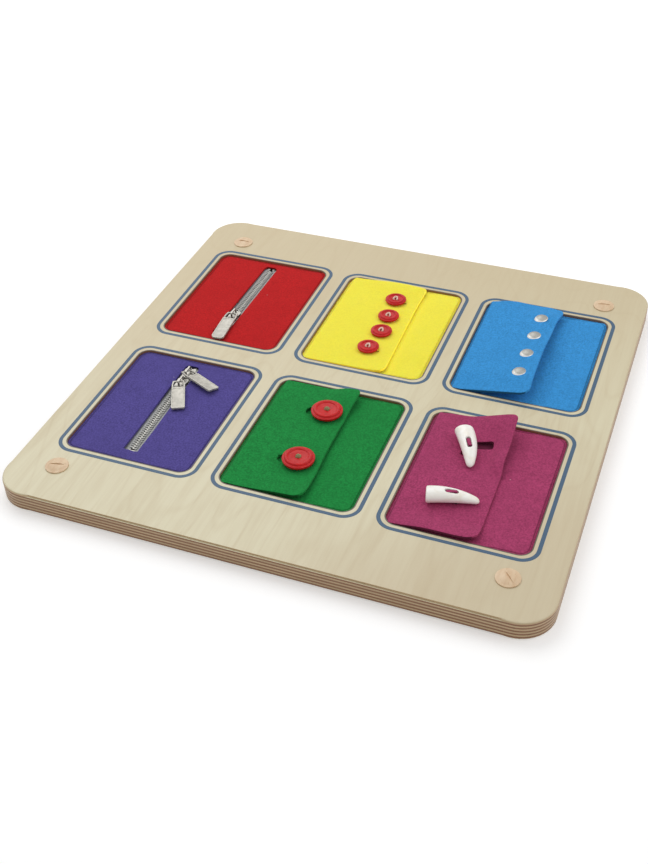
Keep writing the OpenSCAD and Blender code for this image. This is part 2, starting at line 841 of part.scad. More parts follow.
// The wound thread between base and button, with its knot behind the felt
module shank(d, lift) {
    translate([0, 0, felt_back_z - knot_t])
        cylinder(d = d, h = felt_t + knot_t + lift - eps);
    translate([0, 0, felt_back_z - knot_t]) cylinder(d = knot_d, h = knot_t - eps);
}

// Snaps

// Domed cap on the flap, with the post that holds the socket
module snap_cap() {
    dome_r = (pow(snap_cap_d / 2, 2) + pow(snap_cap_h, 2)) / (2 * snap_cap_h);
    translate([0, 0, flap_z + felt_t]) {
        intersection() {
            translate([0, 0, snap_cap_h - dome_r]) sphere(dome_r);
            cylinder(d = snap_cap_d, h = snap_cap_h);
        }
        translate([0, 0, -felt_t + eps]) cylinder(d = snap_hole_d, h = felt_t);
    }
}

// Ring under the flap that drops over the stud
module snap_socket() {
    translate([0, 0, flap_z - socket_h]) difference() {
        union() {
            cylinder(d = socket_d - 1.6, h = socket_h - eps);
            translate([0, 0, socket_h - 0.6]) cylinder(d = socket_d, h = 0.6 - eps);
        }
        translate([0, 0, -1]) cylinder(d = stud_d + 2 * socket_wall_gap, h = socket_h - 0.2 + 1);
    }
}

// Knob on the base, necked under its head
module snap_stud() {
    translate([0, 0, felt_z]) rotate_extrude() difference() {
        union() {
            square([stud_base_d / 2, stud_base_h]);
            square([stud_d / 2, stud_base_h + stud_h - stud_d * 0.12]);
            translate([0, 0]) square([stud_d / 2 - stud_d * 0.12, stud_base_h + stud_h]);
            translate([stud_d * 0.38, stud_base_h + stud_h - stud_d * 0.12])
                circle(stud_d * 0.12, $fn = 24);
        }
        translate([stud_d / 2 + 0.1, stud_base_h + 0.35]) circle(0.35, $fn = 24);
    }
}

module snap_post() {
    translate([0, 0, felt_back_z - snap_post_h]) {
        cylinder(d = snap_post_d, h = snap_post_h - eps);
        cylinder(d = snap_hole_d, h = snap_post_h + felt_t - eps);
    }
}

// Toggles

function horn_r(s) = toggle_w / 2 - (toggle_w - toggle_tip_w) / 2 * pow(s, horn_taper);
function horn_side(s) = toggle_bend * (1 - pow(2 * s - 0.8, 2)) - toggle_bend * 0.36;

// Points of one ring of the horn; the two end rings shrink to close it softly
function horn_ring(s, shrink) = [
    for (k = [0:horn_sides - 1])
        [
            s * toggle_l,
            horn_side(s) + horn_r(s) * shrink * cos(360 * k / horn_sides),
            horn_r(s) * toggle_flat * (1 + shrink * sin(360 * k / horn_sides))
        ]
];

// A curved, tapered horn lying along +X on the plane z 0, thick end at x 0
module horn() {
    stations = concat(
        [[0, 0.82], [0.012, 0.95], [0.03, 1]],
        [for (i = [1:horn_rings - 2]) [0.03 + 0.9 * i / (horn_rings - 2), 1]],
        [[0.965, 0.86], [0.99, 0.6], [1, 0.25]]
    );
    count = len(stations);
    points = [for (st = stations) each horn_ring(st[0], st[1])];
    sides = [
        for (i = [0:count - 2], k = [0:horn_sides - 1])
            let (
                a = i * horn_sides + k,
                b = i * horn_sides + (k + 1) % horn_sides
            )
            [a, b, b + horn_sides, a + horn_sides]
    ];
    start = [[for (k = [horn_sides - 1:-1:0]) k]];
    finish = [[for (k = [0:horn_sides - 1]) (count - 1) * horn_sides + k]];
    polyhedron(points, concat(start, sides, finish));
}

// A toggle at the strap's place, with two holes for the strap and a groove between them
module toggle(angle) {
    strap_s = strap_from_thick_end / toggle_l;
    top = 2 * horn_r(strap_s) * toggle_flat;
    rotate([0, 0, angle]) translate([0, 0, toggle_z]) difference() {
        translate([-strap_from_thick_end, -horn_side(strap_s), 0]) horn();
        for (s = [-1, 1]) translate([s * toggle_hole_at, 0, -1])
            cylinder(d = toggle_hole_d, h = toggle_w);
        translate([-toggle_hole_at, -toggle_hole_d / 2, top - groove_depth])
            cube([2 * toggle_hole_at, toggle_hole_d, toggle_w]);
    }
}

// The felt strap: up through one hole, over the groove and down the other, feet behind the base
module toggle_strap(angle) {
    strap_s = strap_from_thick_end / toggle_l;
    bridge_z = toggle_z + 2 * horn_r(strap_s) * toggle_flat - groove_depth + 0.2;
    rotate([0, 0, angle]) {
        for (s = [-1, 1]) translate([s * toggle_hole_at, 0, 0]) {
            translate([-strap_t / 2, -strap_w / 2, felt_back_z - strap_t])
                cube([strap_t, strap_w, bridge_z + strap_t - felt_back_z + strap_t]);
            mirror([s > 0 ? 0 : 1, 0, 0])
                translate([-strap_t / 2, -strap_w / 2, felt_back_z - strap_t])
                    cube([strap_foot_l, strap_w, strap_t - eps]);
        }
        translate([-toggle_hole_at, -strap_w / 2, bridge_z])
            cube([2 * toggle_hole_at, strap_w, strap_t]);
    }
}

// The two slits in the base that a strap's legs pass through
module strap_slits(angle) {
    rotate([0, 0, angle]) for (s = [-1, 1])
        translate([s * toggle_hole_at - strap_t / 2 - shank_gap, -strap_w / 2 - shank_gap, 0])
            cube([strap_t + 2 * shank_gap, strap_w + 2 * shank_gap, board_t]);
}

// Parts

front_board();
back_panel();
back_screws();
cap_at(-1, -1, 14);  // cap_near_left
cap_at(1, -1, -48);  // cap_near_right
cap_at(-1, 1, 2);  // cap_far_left
cap_at(1, 1, 10);  // cap_far_right
color(felt_red) at_window(-1, far) zip_base(red_zip_lean);  // red_felt
color(felt_purple) at_window(-1, near) zip_base(purple_zip_lean);  // purple_felt
yellow_felt();
green_felt();
blue_felt();
magenta_felt();
yellow_flap();
green_flap();
blue_flap();
magenta_flap();
color("gray") at_zip(far) zip_tape();  // red_zip_tape
color(nickel) at_zip(far) zip_teeth();  // red_zip_teeth
color(nickel) at_zip(far) zip_stops();  // red_zip_stops
color(nickel) at_zip(far) translate([0, red_slider_y, 0]) zip_slider();  // red_zip_slider
color(nickel) at_zip(far) hang_pull(red_slider_y, 0) pull_shape(red_pull_l, red_pull_w, 4);  // red_zip_pull
color("gray") at_zip(near) zip_tape();  // purple_zip_tape
color(nickel) at_zip(near) zip_teeth();  // purple_zip_teeth
color(nickel) at_zip(near) zip_stops();  // purple_zip_stops
color(nickel) at_zip(near) translate([0, upper_slider_y, 0]) zip_slider();  // purple_upper_slider
color(nickel) at_zip(near)  // purple_upper_pull
        hang_pull(upper_slider_y, upper_pull_swing, upper_pull_along, upper_pull_roll)
            pull_shape(purple_pull_l, purple_pull_w, 1.5);
color(nickel) at_zip(near) translate([0, lower_slider_y, 0]) zip_slider();  // purple_lower_slider
color(nickel) at_zip(near) hang_pull(lower_slider_y, lower_pull_swing)  // purple_lower_pull
        pull_shape(purple_pull_l, purple_pull_w, 1.5);
small_button(0);  // small_button_1
small_button(1);  // small_button_2
small_button(2);  // small_button_3
small_button(3);  // small_button_4
small_button_thread(0);  // small_button_thread_1
small_button_thread(1);  // small_button_thread_2
small_button_thread(2);  // small_button_thread_3
small_button_thread(3);  // small_button_thread_4
color("mistyrose") at_window(0, far) at_small_buttons() shank(small_shank_d, small_button_lift);  // small_button_shanks
big_button(1);  // big_button_upper
big_button(-1);  // big_button_lower
big_button_thread(1);  // big_button_thread_upper
big_button_thread(-1);  // big_button_thread_lower
color("darkolivegreen") at_window(0, near) at_big_buttons() shank(big_shank_d, big_button_lift);  // big_button_shanks
color(nickel) at_window(1, far) blue_opened() at_snaps() snap_cap();  // snap_caps
color(nickel) at_window(1, far) blue_opened() at_snaps() snap_socket();  // snap_sockets
color(nickel) at_window(1, far) at_snaps() snap_stud();  // snap_studs
color(nickel) at_window(1, far) at_snaps() snap_post();  // snap_posts
color("ivory") at_window(1, near) toggle_place(1) toggle(upper_toggle_angle);  // toggle_upper
color("ivory") at_window(1, near) toggle_place(-1) toggle(lower_toggle_angle);  // toggle_lower
color(felt_magenta) at_window(1, near) toggle_place(1) toggle_strap(upper_toggle_angle);  // toggle_strap_upper
color(felt_magenta) at_window(1, near) toggle_place(-1) toggle_strap(lower_toggle_angle);  // toggle_strap_lower
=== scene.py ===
import math

import bpy
import numpy as np
from mathutils import Matrix, Vector


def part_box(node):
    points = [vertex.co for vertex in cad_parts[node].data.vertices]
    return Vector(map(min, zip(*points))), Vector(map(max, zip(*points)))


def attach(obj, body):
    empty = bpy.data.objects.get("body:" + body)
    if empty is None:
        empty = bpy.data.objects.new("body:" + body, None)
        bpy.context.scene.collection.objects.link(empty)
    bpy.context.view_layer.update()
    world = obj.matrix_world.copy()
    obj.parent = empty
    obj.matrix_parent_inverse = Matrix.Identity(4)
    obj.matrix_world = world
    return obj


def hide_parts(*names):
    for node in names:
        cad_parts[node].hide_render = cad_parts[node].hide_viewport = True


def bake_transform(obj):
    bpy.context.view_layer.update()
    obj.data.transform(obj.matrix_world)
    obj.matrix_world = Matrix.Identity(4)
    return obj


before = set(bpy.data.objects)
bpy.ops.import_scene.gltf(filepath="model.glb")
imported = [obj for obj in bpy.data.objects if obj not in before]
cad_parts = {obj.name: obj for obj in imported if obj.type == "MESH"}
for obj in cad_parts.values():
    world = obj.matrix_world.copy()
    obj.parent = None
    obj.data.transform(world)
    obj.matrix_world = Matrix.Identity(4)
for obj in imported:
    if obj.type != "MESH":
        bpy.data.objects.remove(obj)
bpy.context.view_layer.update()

mm = 0.001
scene = bpy.context.scene

# the wooden busy board's own measures, in mm
board = {
    "front": 18, "feltTop": 15.6, "feltThick": 2.4, "columnPitch": 148, "rowOffset": 94.5,
    "windowWidth": 120.6, "windowHeight": 152.5, "windowCorner": 10.5,
    "ledge": 7.6, "pocketCorner": 11.1, "columnsEnd": 214,
}
windows = {
    "red": (-1, 1), "yellow": (0, 1), "blue": (1, 1),
    "purple": (-1, -1), "green": (0, -1), "magenta": (1, -1),
}
zippedWindows = ("red", "purple")  # the others have a flap
hair = 2e-6  # metres: points this near are one, and faces this far apart don't meet
cutterTall = 0.02  # metres, well past both faces of a felt


def windowCentre(name):
    column, row = windows[name]
    return Vector((column * board["columnPitch"], row * board["rowOffset"], 0)) * mm


def clearSelection():
    if bpy.context.object and bpy.context.object.mode != "OBJECT":
        bpy.ops.object.mode_set(mode="OBJECT")
    bpy.ops.object.select_all(action="DESELECT")


def activate(*things):
    clearSelection()
    for thing in things:
        thing.select_set(True)
    bpy.context.view_layer.objects.active = things[0]


def settle(thing, spot=None):  # place, turn and size go into the mesh
    activate(thing)
    bpy.ops.object.transform_apply(location=True, rotation=True, scale=True)
    if spot is not None:
        thing.data.transform(spot)
    return thing


def applied(thing, kind, **settings):
    activate(thing)
    modifier = thing.modifiers.new(kind.lower(), kind)
    for name, value in settings.items():
        setattr(modifier, name, value)
    bpy.ops.object.modifier_apply(modifier=modifier.name)


def pick(thing, part, wanted):  # leaves edit mode on, with only the wanted parts selected
    activate(thing)
    bpy.ops.object.mode_set(mode="EDIT")
    bpy.ops.mesh.select_mode(type=part)
    bpy.ops.mesh.select_all(action="DESELECT")
    bpy.ops.object.mode_set(mode="OBJECT")
    points = thing.data.vertices
    if part == "FACE":
        for face in thing.data.polygons:
            face.select = wanted(face)
    elif part == "EDGE":
        for edge in thing.data.edges:
            edge.select = wanted(points[edge.vertices[0]].co, points[edge.vertices[1]].co)
    else:
        for point in points:
            point.select = wanted(point.co)
    bpy.ops.object.mode_set(mode="EDIT")


def editAll(thing):  # leaves edit mode on, with the whole mesh selected
    activate(thing)
    bpy.ops.object.mode_set(mode="EDIT")
    bpy.ops.mesh.select_all(action="SELECT")


def editDone(thing):
    bpy.ops.object.mode_set(mode="OBJECT")
    return thing


def mergeDoubles(thing, gap):
    editAll(thing)
    bpy.ops.mesh.remove_doubles(threshold=gap)
    return editDone(thing)


def smoothShade(thing, angle=35):
    activate(thing)
    bpy.ops.object.shade_smooth_by_angle(angle=math.radians(angle))
    return thing


def joined(name, things):
    activate(*things)
    if len(things) > 1:
        bpy.ops.object.join()
    things[0].name = things[0].data.name = name
    return things[0]


def plainBlock(size, place=(0, 0, 0)):
    clearSelection()
    bpy.ops.mesh.primitive_cube_add(size=1)
    block = bpy.context.object
    block.scale = size
    block.location = place
    return settle(block)


# corner is one radius for all four upright edges, or a list of a radius and the edges it is for
def roundedBlock(size, corner, place, turn=0, segments=8):
    block = plainBlock(size)
    for radius, wanted in corner if isinstance(corner, list) else [(corner, lambda spot: True)]:
        pick(block, "EDGE",
             lambda a, b: abs(a.x - b.x) < hair and abs(a.y - b.y) < hair and wanted(a))
        bpy.ops.mesh.bevel(offset=radius, segments=segments)
        editDone(block)
    block.rotation_euler.z = turn
    block.location = place
    return settle(block)


def bisected(thing, planes, direction):  # new edge loops where a piece has to bend
    pick(thing, "VERT", lambda spot: False)
    for plane in planes:
        bpy.ops.mesh.select_all(action="SELECT")
        bpy.ops.mesh.bisect(plane_co=[part * plane for part in direction], plane_no=direction)
    editDone(thing)


def cutBy(thing, cutter, operation="DIFFERENCE"):
    applied(thing, "BOOLEAN", object=cutter, operation=operation, solver="EXACT")
    bpy.data.objects.remove(cutter)


def paintOn(thing, material):
    thing.data.materials.clear()
    thing.data.materials.append(material)


# the piece's finish, its slot, which is not used, the node that it stands for and the body that it
# rides on
def fitted(piece, material, slotName, node, body):
    if material:
        paintOn(piece, material)
    if node:
        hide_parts(node)
    if body:
        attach(piece, body)


def dress(material, *nodeNames):
    for nodeName in nodeNames:
        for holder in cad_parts[nodeName].material_slots:
            holder.link = "OBJECT"
            holder.material = material


def mergedCopy(nodeName, pieceName):
    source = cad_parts[nodeName]
    piece = bpy.data.objects.new(pieceName, source.data.copy())
    scene.collection.objects.link(piece)
    piece.data.transform(source.matrix_world)
    activate(piece)
    if piece.data.has_custom_normals:
        bpy.ops.mesh.customdata_custom_splitnormals_clear()
    return mergeDoubles(piece, hair)


# in degrees: flatter than the first, faces become one; sharper than the second, edges are eased
arris = {"flat": 1.5, "sharp": 38}


# a merged copy of a machined shape, with its arrises eased
def easedCopy(nodeName, pieceName, width, cutter=None):
    piece = mergedCopy(nodeName, pieceName)
    if cutter is not None:
        cutBy(piece, cutter)
    editAll(piece)
    bpy.ops.mesh.dissolve_limited(angle_limit=math.radians(arris["flat"]))
    editDone(piece)
    applied(piece, "BEVEL", width=width * mm, segments=2, limit_method="ANGLE",
            angle_limit=math.radians(arris["sharp"]), use_clamp_overlap=True)
    return smoothShade(piece)


def middleOf(node):
    return [(low + high) / 2 for low, high in zip(*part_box(node))]


def paint(red, green, blue):  # screen values to the linear ones that a shader takes
    def linear(value):
        value = value / 255
        return value / 12.92 if value < 0.04045 else ((value + 0.055) / 1.055) ** 2.4
    return linear(red), linear(green), linear(blue), 1


def shaded(colour, factor):
    return tuple(min(1, part * factor) for part in colour[:3]) + (1,)


class Wire:  # a shader socket that does its sums as nodes
    def __init__(self, tree, socket=None):
        self.tree = tree
        self.socket = socket

    def node(self, kind, sockets=None, out=0, stops=None, **settings):
        made = self.tree.nodes.new("ShaderNode" + kind)
        for name, value in settings.items():
            setattr(made, name, value)
        if stops:
            while len(made.color_ramp.elements) < len(stops):
                made.color_ramp.elements.new(0.5)
            for element, (place, colour) in zip(made.color_ramp.elements, stops):
                element.position = place
                element.color = colour
        for name, value in (sockets or {}).items():
            if isinstance(value, Wire):
                self.tree.links.new(value.socket, made.inputs[name])
            else:
                made.inputs[name].default_value = value
        return Wire(self.tree, made.outputs[out] if len(made.outputs) else None)

    def axis(self, name):
        return self.node("SeparateXYZ", {"Vector": self}, out=name)

    def sums(self, operation, *values):
        return self.node("Math", dict(enumerate(values)), operation=operation)

    def __add__(self, other):
        return self.sums("ADD", self, other)

    def __radd__(self, other):
        return self.sums("ADD", other, self)

    def __sub__(self, other):
        return self.sums("SUBTRACT", self, other)

    def __rsub__(self, other):
        return self.sums("SUBTRACT", other, self)

    def __mul__(self, other):
        return self.sums("MULTIPLY", self, other)

    def __rmul__(self, other):
        return self.sums("MULTIPLY", other, self)

    def __abs__(self):
        return self.sums("ABSOLUTE", self)

    def __mod__(self, other):
        return self.sums("FLOORED_MODULO", self, other)

    def rise(self, low, high, unit=1):  # 0 below low, 1 above high, smooth between
        ends = {"From Min": low * unit, "From Max": high * unit}
        return self.node("MapRange", {"Value": self, **ends}, interpolation_type="SMOOTHSTEP")

    def tint(self, first, second, how="MIX"):
        return self.node("Mix", {0: self, 6: first, 7: second}, 2, data_type="RGBA", blend_type=how)

    def stretched(self, scale, turn=0):
        return self.node("Mapping", {"Vector": self, "Scale": scale, "Rotation": (0, 0, turn)})

    def noise(self, scale, detail=2, rough=0.5, warp=0):
        return self.node("TexNoise", {"Vector": self, "Scale": scale, "Detail": detail,
                                      "Roughness": rough, "Distortion": warp})

    def bump(self, height, depth, strength=1):
        return self.node("Bump", {"Height": height, "Distance": depth * mm, "Strength": strength})


# how far a spot lies outside (or, below 0, inside) a window, from its offsets to the centre
def windowDistance(across, along):
    over = [abs(part) - (board[size] / 2 - board["windowCorner"]) * mm
            for part, size in ((across, "windowWidth"), (along, "windowHeight"))]
    past = [side.sums("MAXIMUM", side, 0) for side in over]
    beyond = across.sums("SQRT", past[0] * past[0] + past[1] * past[1])
    inside = across.sums("MINIMUM", across.sums("MAXIMUM", *over), 0)
    return beyond + inside - board["windowCorner"] * mm


def newMaterial(name):
    material = bpy.data.materials.new(name)
    material.use_nodes = True
    material.node_tree.nodes.clear()
    return material, Wire(material.node_tree)


def surface(wire, sockets):
    shader = wire.node("BsdfPrincipled", sockets)
    wire.node("OutputMaterial", {"Surface": shader})


# what all felts share, in mm; shade and the cut ends' tone are parts of a felt's own colour that
# its painted shade takes, the crease tone is how far a crease goes towards that painted shade, and
# glow is the colour of a painted glow on upright faces
felt = {
    "creaseWidth": (0.15, 0.75), "creaseShadeTone": 0.62, "shade": 0.3, "endShadeTone": 0.16,
    "lint": paint(235, 228, 222), "glow": paint(244, 206, 52), "glowDepth": (3, 2.2, 0.6),
    "baseCrease": 2.3, "foldCrease": 2.8, "underSlot": (-4.5, 43.4, 8, 4.5), "slotFade": 5,
}


# a base has a crease where its soft middle meets the glued rim, and a flap has one by its fold;
# the crease is dented and darkened with painted shade; shadeAt is where another piece keeps the
# light off, and there the felt is darkened with painted shade too
def feltMaterial(name, look, creaseAt, shadeAt=None):
    colour, depth, glow = look["colour"], look["depth"], look.get("glow")
    material, wire = newMaterial(name)
    spot = wire.node("TexCoord", out="Object")
    normal = wire.node("TexCoord", out="Normal")
    creaseWithShade = 1 - abs(creaseAt(spot)).rise(*felt["creaseWidth"], mm)
    clumps = spot.noise(620, 4, 0.68)
    clouds = spot.noise(150, 3, 0.55)
    fibres = (spot.stretched((260, 2600, 300), 0.5).noise(1, 2, 0.5, 0.6)
              + spot.stretched((2600, 260, 300), 0.35).noise(1, 2, 0.5, 0.6)) * 0.5
    tone = (clumps * 0.6 + clouds * 0.13 + fibres * 0.27).rise(0.38, 0.62)
    cloth = tone.tint(shaded(colour, 1 - depth), shaded(colour, 1 + depth * 0.8))
    wide = spot.noise(16, 2).rise(0.3, 0.7)
    cloth = (wide * 0.3).tint(cloth, shaded(colour, 1 - depth * 0.6))
    cells = spot.node("TexVoronoi", {"Vector": spot, "Scale": 58, "Randomness": 1}, out="Distance")
    lint = (1 - cells.rise(0.02, 0.045)) * spot.noise(31, 1).rise(0.55, 0.6) * look["lint"]
    cloth = lint.tint(cloth, felt["lint"])
    shade = shaded(colour, felt["shade"])
    # painted shade: each crease is tinted towards the felt's shaded colour
    cloth = (creaseWithShade * look.get("creaseWithShade", felt["creaseShadeTone"])).tint(cloth, shade)
    if shadeAt:
        cloth = shadeAt(spot).tint(cloth, shade)
    # painted shade: the felt's cut ends, faces that look near or far, are darkened as if in shadow
    endShade = abs(normal.axis("Y")).rise(0.6, 0.9)
    cloth = (endShade * 0.8).tint(cloth, shaded(colour, felt["endShadeTone"]))
    relief = clumps * 0.6 + fibres * 0.5 + clouds * 0.3 - creaseWithShade * 1.2
    sockets = {"Base Color": cloth, "Roughness": 0.95, "Sheen Weight": 0.05,
               "Sheen Roughness": 0.45, "Specular IOR Level": 0.1,
               "Normal": wire.bump(relief, 0.5, 0.55)}
    if glow:  # a painted glow, an emission on upright faces, stands in for light that comes through pale felt and out at its edges; the subsurface scattering is real
        upright = 1 - abs(normal.axis("Z")).rise(0.4, 0.9)
        sockets["Emission Color"] = upright.tint((0, 0, 0, 1), felt["glow"])
        sockets["Emission Strength"] = sockets["Subsurface Weight"] = glow
        sockets["Subsurface Radius"] = [part * mm for part in felt["glowDepth"]]
        sockets["Subsurface Scale"] = 1
    surface(wire, sockets)
    return material


def veneerTone(spot):  # 0 pale to 1 dark: grain that runs from the near edge to the far edge
    sway = spot.stretched((1, 0.3, 1)).noise(9, 2)
    streaks = spot.stretched((1, 0.05, 1)).noise(190, 5, 0.6, 0.25)
    pores = spot.stretched((1, 0.025, 1)).noise(1250, 2, 0.5).rise(0.58, 0.72)
    rings = abs((sway * 17) % 1 - 0.5).rise(0.36, 0.5)
    blush = spot.stretched((1, 0.35, 1)).noise(17, 3, 0.6, 0.8).rise(0.52, 0.78)
    return streaks.rise(0.3, 0.75) * 0.3 + pores * 0.09 + rings * 0.14 + blush * 0.32


def plywoodMaterial():
    look = {
        "pale": paint(217, 209, 178), "warm": paint(190, 172, 136),
        # far and near are painted shade: the veneer darker and warmer towards the far left and the
        # near right
        "far": paint(196, 178, 142), "near": paint(196, 178, 146),
        "lightPly": paint(212, 184, 144), "darkPly": paint(142, 98, 66), "glue": paint(112, 76, 50),
        "plies": 11, "topGlue": (10.3, 10.6),  # counted from the back
        # arris is the colour of a painted shadow line on the wood round each window; scorched is
        # partly real scorch and partly painted shade on the windows' walls
        "scorchAndShade": paint(128, 84, 58), "arris": paint(46, 30, 24),
        "scorchShadeWidth": (3, 5), "rimShadeWidth": (0.8, 1.3),  # in mm from a window's wall
    }
    material, wire = newMaterial("plywood veneer and plies")
    spot = wire.node("TexCoord", out="Object")
    facing = wire.node("TexCoord", out="Normal").axis("Z")
    tone = veneerTone(spot)
    face = tone.tint(look["pale"], look["warm"])
    across, along = spot.axis("X"), spot.axis("Y")
    # painted shade: the veneer turns darker and warmer towards the far left and towards the near
    # right corner
    face = ((along - across * 0.35).rise(-0.16, 0.24) * 0.75).tint(face, look["far"])
    face = ((across - along).rise(0.2, 0.38) * 0.6).tint(face, look["near"])
    pitch = board["columnPitch"] * mm  # the outline repeats from window to window
    rim = windowDistance((across + 1.5 * pitch) % pitch - pitch / 2,
                         abs(along) - board["rowOffset"] * mm)
    rim = rim.sums("MAXIMUM", rim, abs(across) - board["columnsEnd"] * mm)
    # painted shadow: a dark line on the wood along each window's edge
    face = ((1 - rim.rise(*look["rimShadeWidth"], mm)) * 0.9).tint(face, look["arris"])
    ply = spot.axis("Z") * (look["plies"] / (board["front"] * mm))
    layer = ply.sums("FLOOR", ply)
    strip = spot.stretched((26, 26, 1500)).noise(1, 4, 0.65)
    ends = spot.noise(1300, 3, 0.6)
    light = strip.rise(0.25, 0.8).tint(look["lightPly"], shaded(look["lightPly"], 0.66))
    dark = ends.rise(0.3, 0.7).tint(shaded(look["darkPly"], 1.2), shaded(look["darkPly"], 0.72))
    plies = (layer % 2).tint(light, dark)
    glue = abs(ply % 1 - 0.5).rise(0.44, 0.5) * (0.5 - ply.rise(*look["topGlue"]) * 0.5)
    plies = glue.tint(plies, look["glue"])
    # the plies of a window's walls darken: partly the real scorch of the cut, partly painted shade
    plies = ((1 - rim.rise(*look["scorchShadeWidth"], mm)) * 0.85).tint(plies, look["scorchAndShade"])
    edge = 1 - abs(facing).rise(0.55, 0.9)
    wood = edge.tint(face, plies)
    grain = spot.stretched((1, 0.05, 1)).noise(700, 3, 0.6)
    surface(wire, {"Base Color": wood, "Roughness": tone * 0.12 + 0.46, "Coat Weight": 0.08,
                   "Coat Roughness": 0.35, "Normal": wire.bump(grain + strip * 0.4, 0.09, 0.35)})
    return material


def beechMaterial():
    look = {"pale": paint(222, 196, 162), "fleck": paint(196, 154, 112)}
    material, wire = newMaterial("turned beech")
    spot = wire.node("TexCoord", out="Object")
    flecks = spot.stretched((1, 0.12, 1), 0.5).noise(1500, 2).rise(0.6, 0.68)
    bands = spot.stretched((1, 0.15, 1), 0.5).noise(260, 3, 0.6)
    tone = bands.rise(0.3, 0.75) * 0.45 + flecks * 0.35
    surface(wire, {"Base Color": tone.tint(look["pale"], look["fleck"]), "Roughness": 0.5,
                   "Coat Weight": 0.1, "Coat Roughness": 0.3,
                   "Normal": wire.bump(bands + flecks * -0.5, 0.06, 0.4)})
    return material


def printMaterial():
    look = {"ink": paint(52, 84, 112), "thin": paint(76, 104, 126)}
    material, wire = newMaterial("screen printed line")
    spot = wire.node("TexCoord", out="Object")
    worn = (veneerTone(spot) * 0.8 + spot.noise(900, 2).rise(0.55, 0.8) * 0.5).rise(0.1, 0.9)
    surface(wire, {"Base Color": worn.tint(look["ink"], look["thin"]),
                   "Roughness": 0.5 + worn * 0.15})
    return material


def metalMaterial(name, colour, rough, grit):
    material, wire = newMaterial(name)
    spot = wire.node("TexCoord", out="Object")
    haze = spot.noise(240, 3, 0.6)
    pits = spot.noise(1700, 2, 0.6)
    tone = haze.rise(0.3, 0.75).tint(colour, shaded(colour, 0.8))
    surface(wire, {"Base Color": tone, "Metallic": 1, "Roughness": haze * 0.16 + rough,
                   "Normal": wire.bump(pits + haze * 0.4, grit, 0.5)})
    return material


def snapMaterial():  # a rougher crown painted darker inside a shoulder painted bright, as painted reflection, with a painted shadow at the foot
    look = {"crownPaintedDark": paint(156, 155, 150), "shoulder": paint(222, 220, 216),
            "footShadow": paint(62, 62, 64)}
    material, wire = newMaterial("snap cap")
    upward = wire.node("TexCoord", out="Normal").axis("Z")
    # painted reflection: the crown dark and the shoulder bright; painted shadow: the foot dark
    crownPaintedDark = upward.rise(0.7, 0.86)
    shoulder = upward.rise(0.05, 0.4).tint(look["footShadow"], look["shoulder"])
    haze = wire.node("TexCoord", out="Object").noise(500, 3, 0.6)
    surface(wire, {"Base Color": crownPaintedDark.tint(shoulder, look["crownPaintedDark"]), "Metallic": 1,
                   "Roughness": haze * 0.1 + crownPaintedDark * 0.3 + 0.2,
                   "Normal": wire.bump(haze, 0.04, 0.4)})
    return material


def buttonMaterial():
    look = {"red": paint(204, 22, 24), "deep": paint(182, 16, 22), "dust": paint(222, 100, 92)}
    material, wire = newMaterial("red lacquered button")
    spot = wire.node("TexCoord", out="Object")
    swirl = spot.stretched((1, 1, 3)).noise(120, 3, 0.55, 1.2)
    scuffs = spot.stretched((1, 0.1, 1), 0.8).noise(1900, 1).rise(0.66, 0.74)
    tone = swirl.rise(0.3, 0.75).tint(look["red"], look["deep"])
    tone = (scuffs * 0.25).tint(tone, look["dust"])
    surface(wire, {"Base Color": tone, "Roughness": 0.42 + scuffs * 0.2, "Coat Weight": 0.04,
                   "Coat Roughness": 0.2, "Specular IOR Level": 0.22,
                   "Normal": wire.bump(swirl + scuffs * -0.5, 0.05, 0.4)})
    return material


def hornMaterial():
    look = {"cream": paint(252, 250, 244), "bone": paint(243, 236, 222)}
    material, wire = newMaterial("cream horn toggle")
    spot = wire.node("TexCoord", out="Object")
    marble = spot.stretched((1, 1, 2), 0.6).noise(60, 4, 0.6, 1.5)
    pits = spot.noise(900, 2)
    surface(wire, {"Base Color": marble.rise(0.4, 0.75).tint(look["cream"], look["bone"]),
                   "Roughness": marble * 0.12 + 0.24, "Coat Weight": 0.3, "Coat Roughness": 0.15,
                   "Normal": wire.bump(pits + marble, 0.06, 0.3)})
    return material


def threadMaterial(name, colour):
    material, wire = newMaterial(name)
    spot = wire.node("TexCoord", out="Object")
    lay = spot.node("TexWave", {"Vector": spot, "Scale": 900, "Distortion": 3, "Detail": 2},
                    bands_direction="DIAGONAL")
    fuzz = spot.noise(2600, 2)
    tone = (lay * 0.6 + fuzz * 0.5).rise(0.3, 0.9).tint(shaded(colour, 0.75), shaded(colour, 1.2))
    surface(wire, {"Base Color": tone, "Roughness": 0.85, "Sheen Weight": 0.15,
                   "Normal": wire.bump(lay + fuzz * 0.4, 0.12, 0.7)})
    return material


def tapeMaterial():  # its UV map runs across the tape from the teeth and then along it, in mm
    look = {"satin": paint(164, 165, 163), "weft": paint(142, 143, 146),
            "gap": paint(104, 106, 110)}
    material, wire = newMaterial("woven zip tape")
    spot = wire.node("TexCoord", out="UV")
    across, along = spot.axis("X"), spot.axis("Y")
    rib = abs((across + abs(along % 2 - 1) * 0.4) * 1.6 % 1 - 0.5).rise(0.05, 0.45)
    weft = abs(along * 2.4 % 1 - 0.5).rise(0.05, 0.45)
    weave = rib * 0.6 + weft * 0.4
    satin = 1 - across.rise(3.7, 4.2)
    stain = spot.noise(0.4, 3).rise(0.3, 0.8) * 0.3
    shine = (weft * 0.3 + stain).tint(look["satin"], shaded(look["satin"], 0.8))
    ground = (weave - stain).tint(look["gap"], look["weft"])
    surface(wire, {"Base Color": satin.tint(ground, shine), "Roughness": 0.75 - satin * 0.3,
                   "Normal": wire.bump(weave, 0.12, 0.6)})
    return material


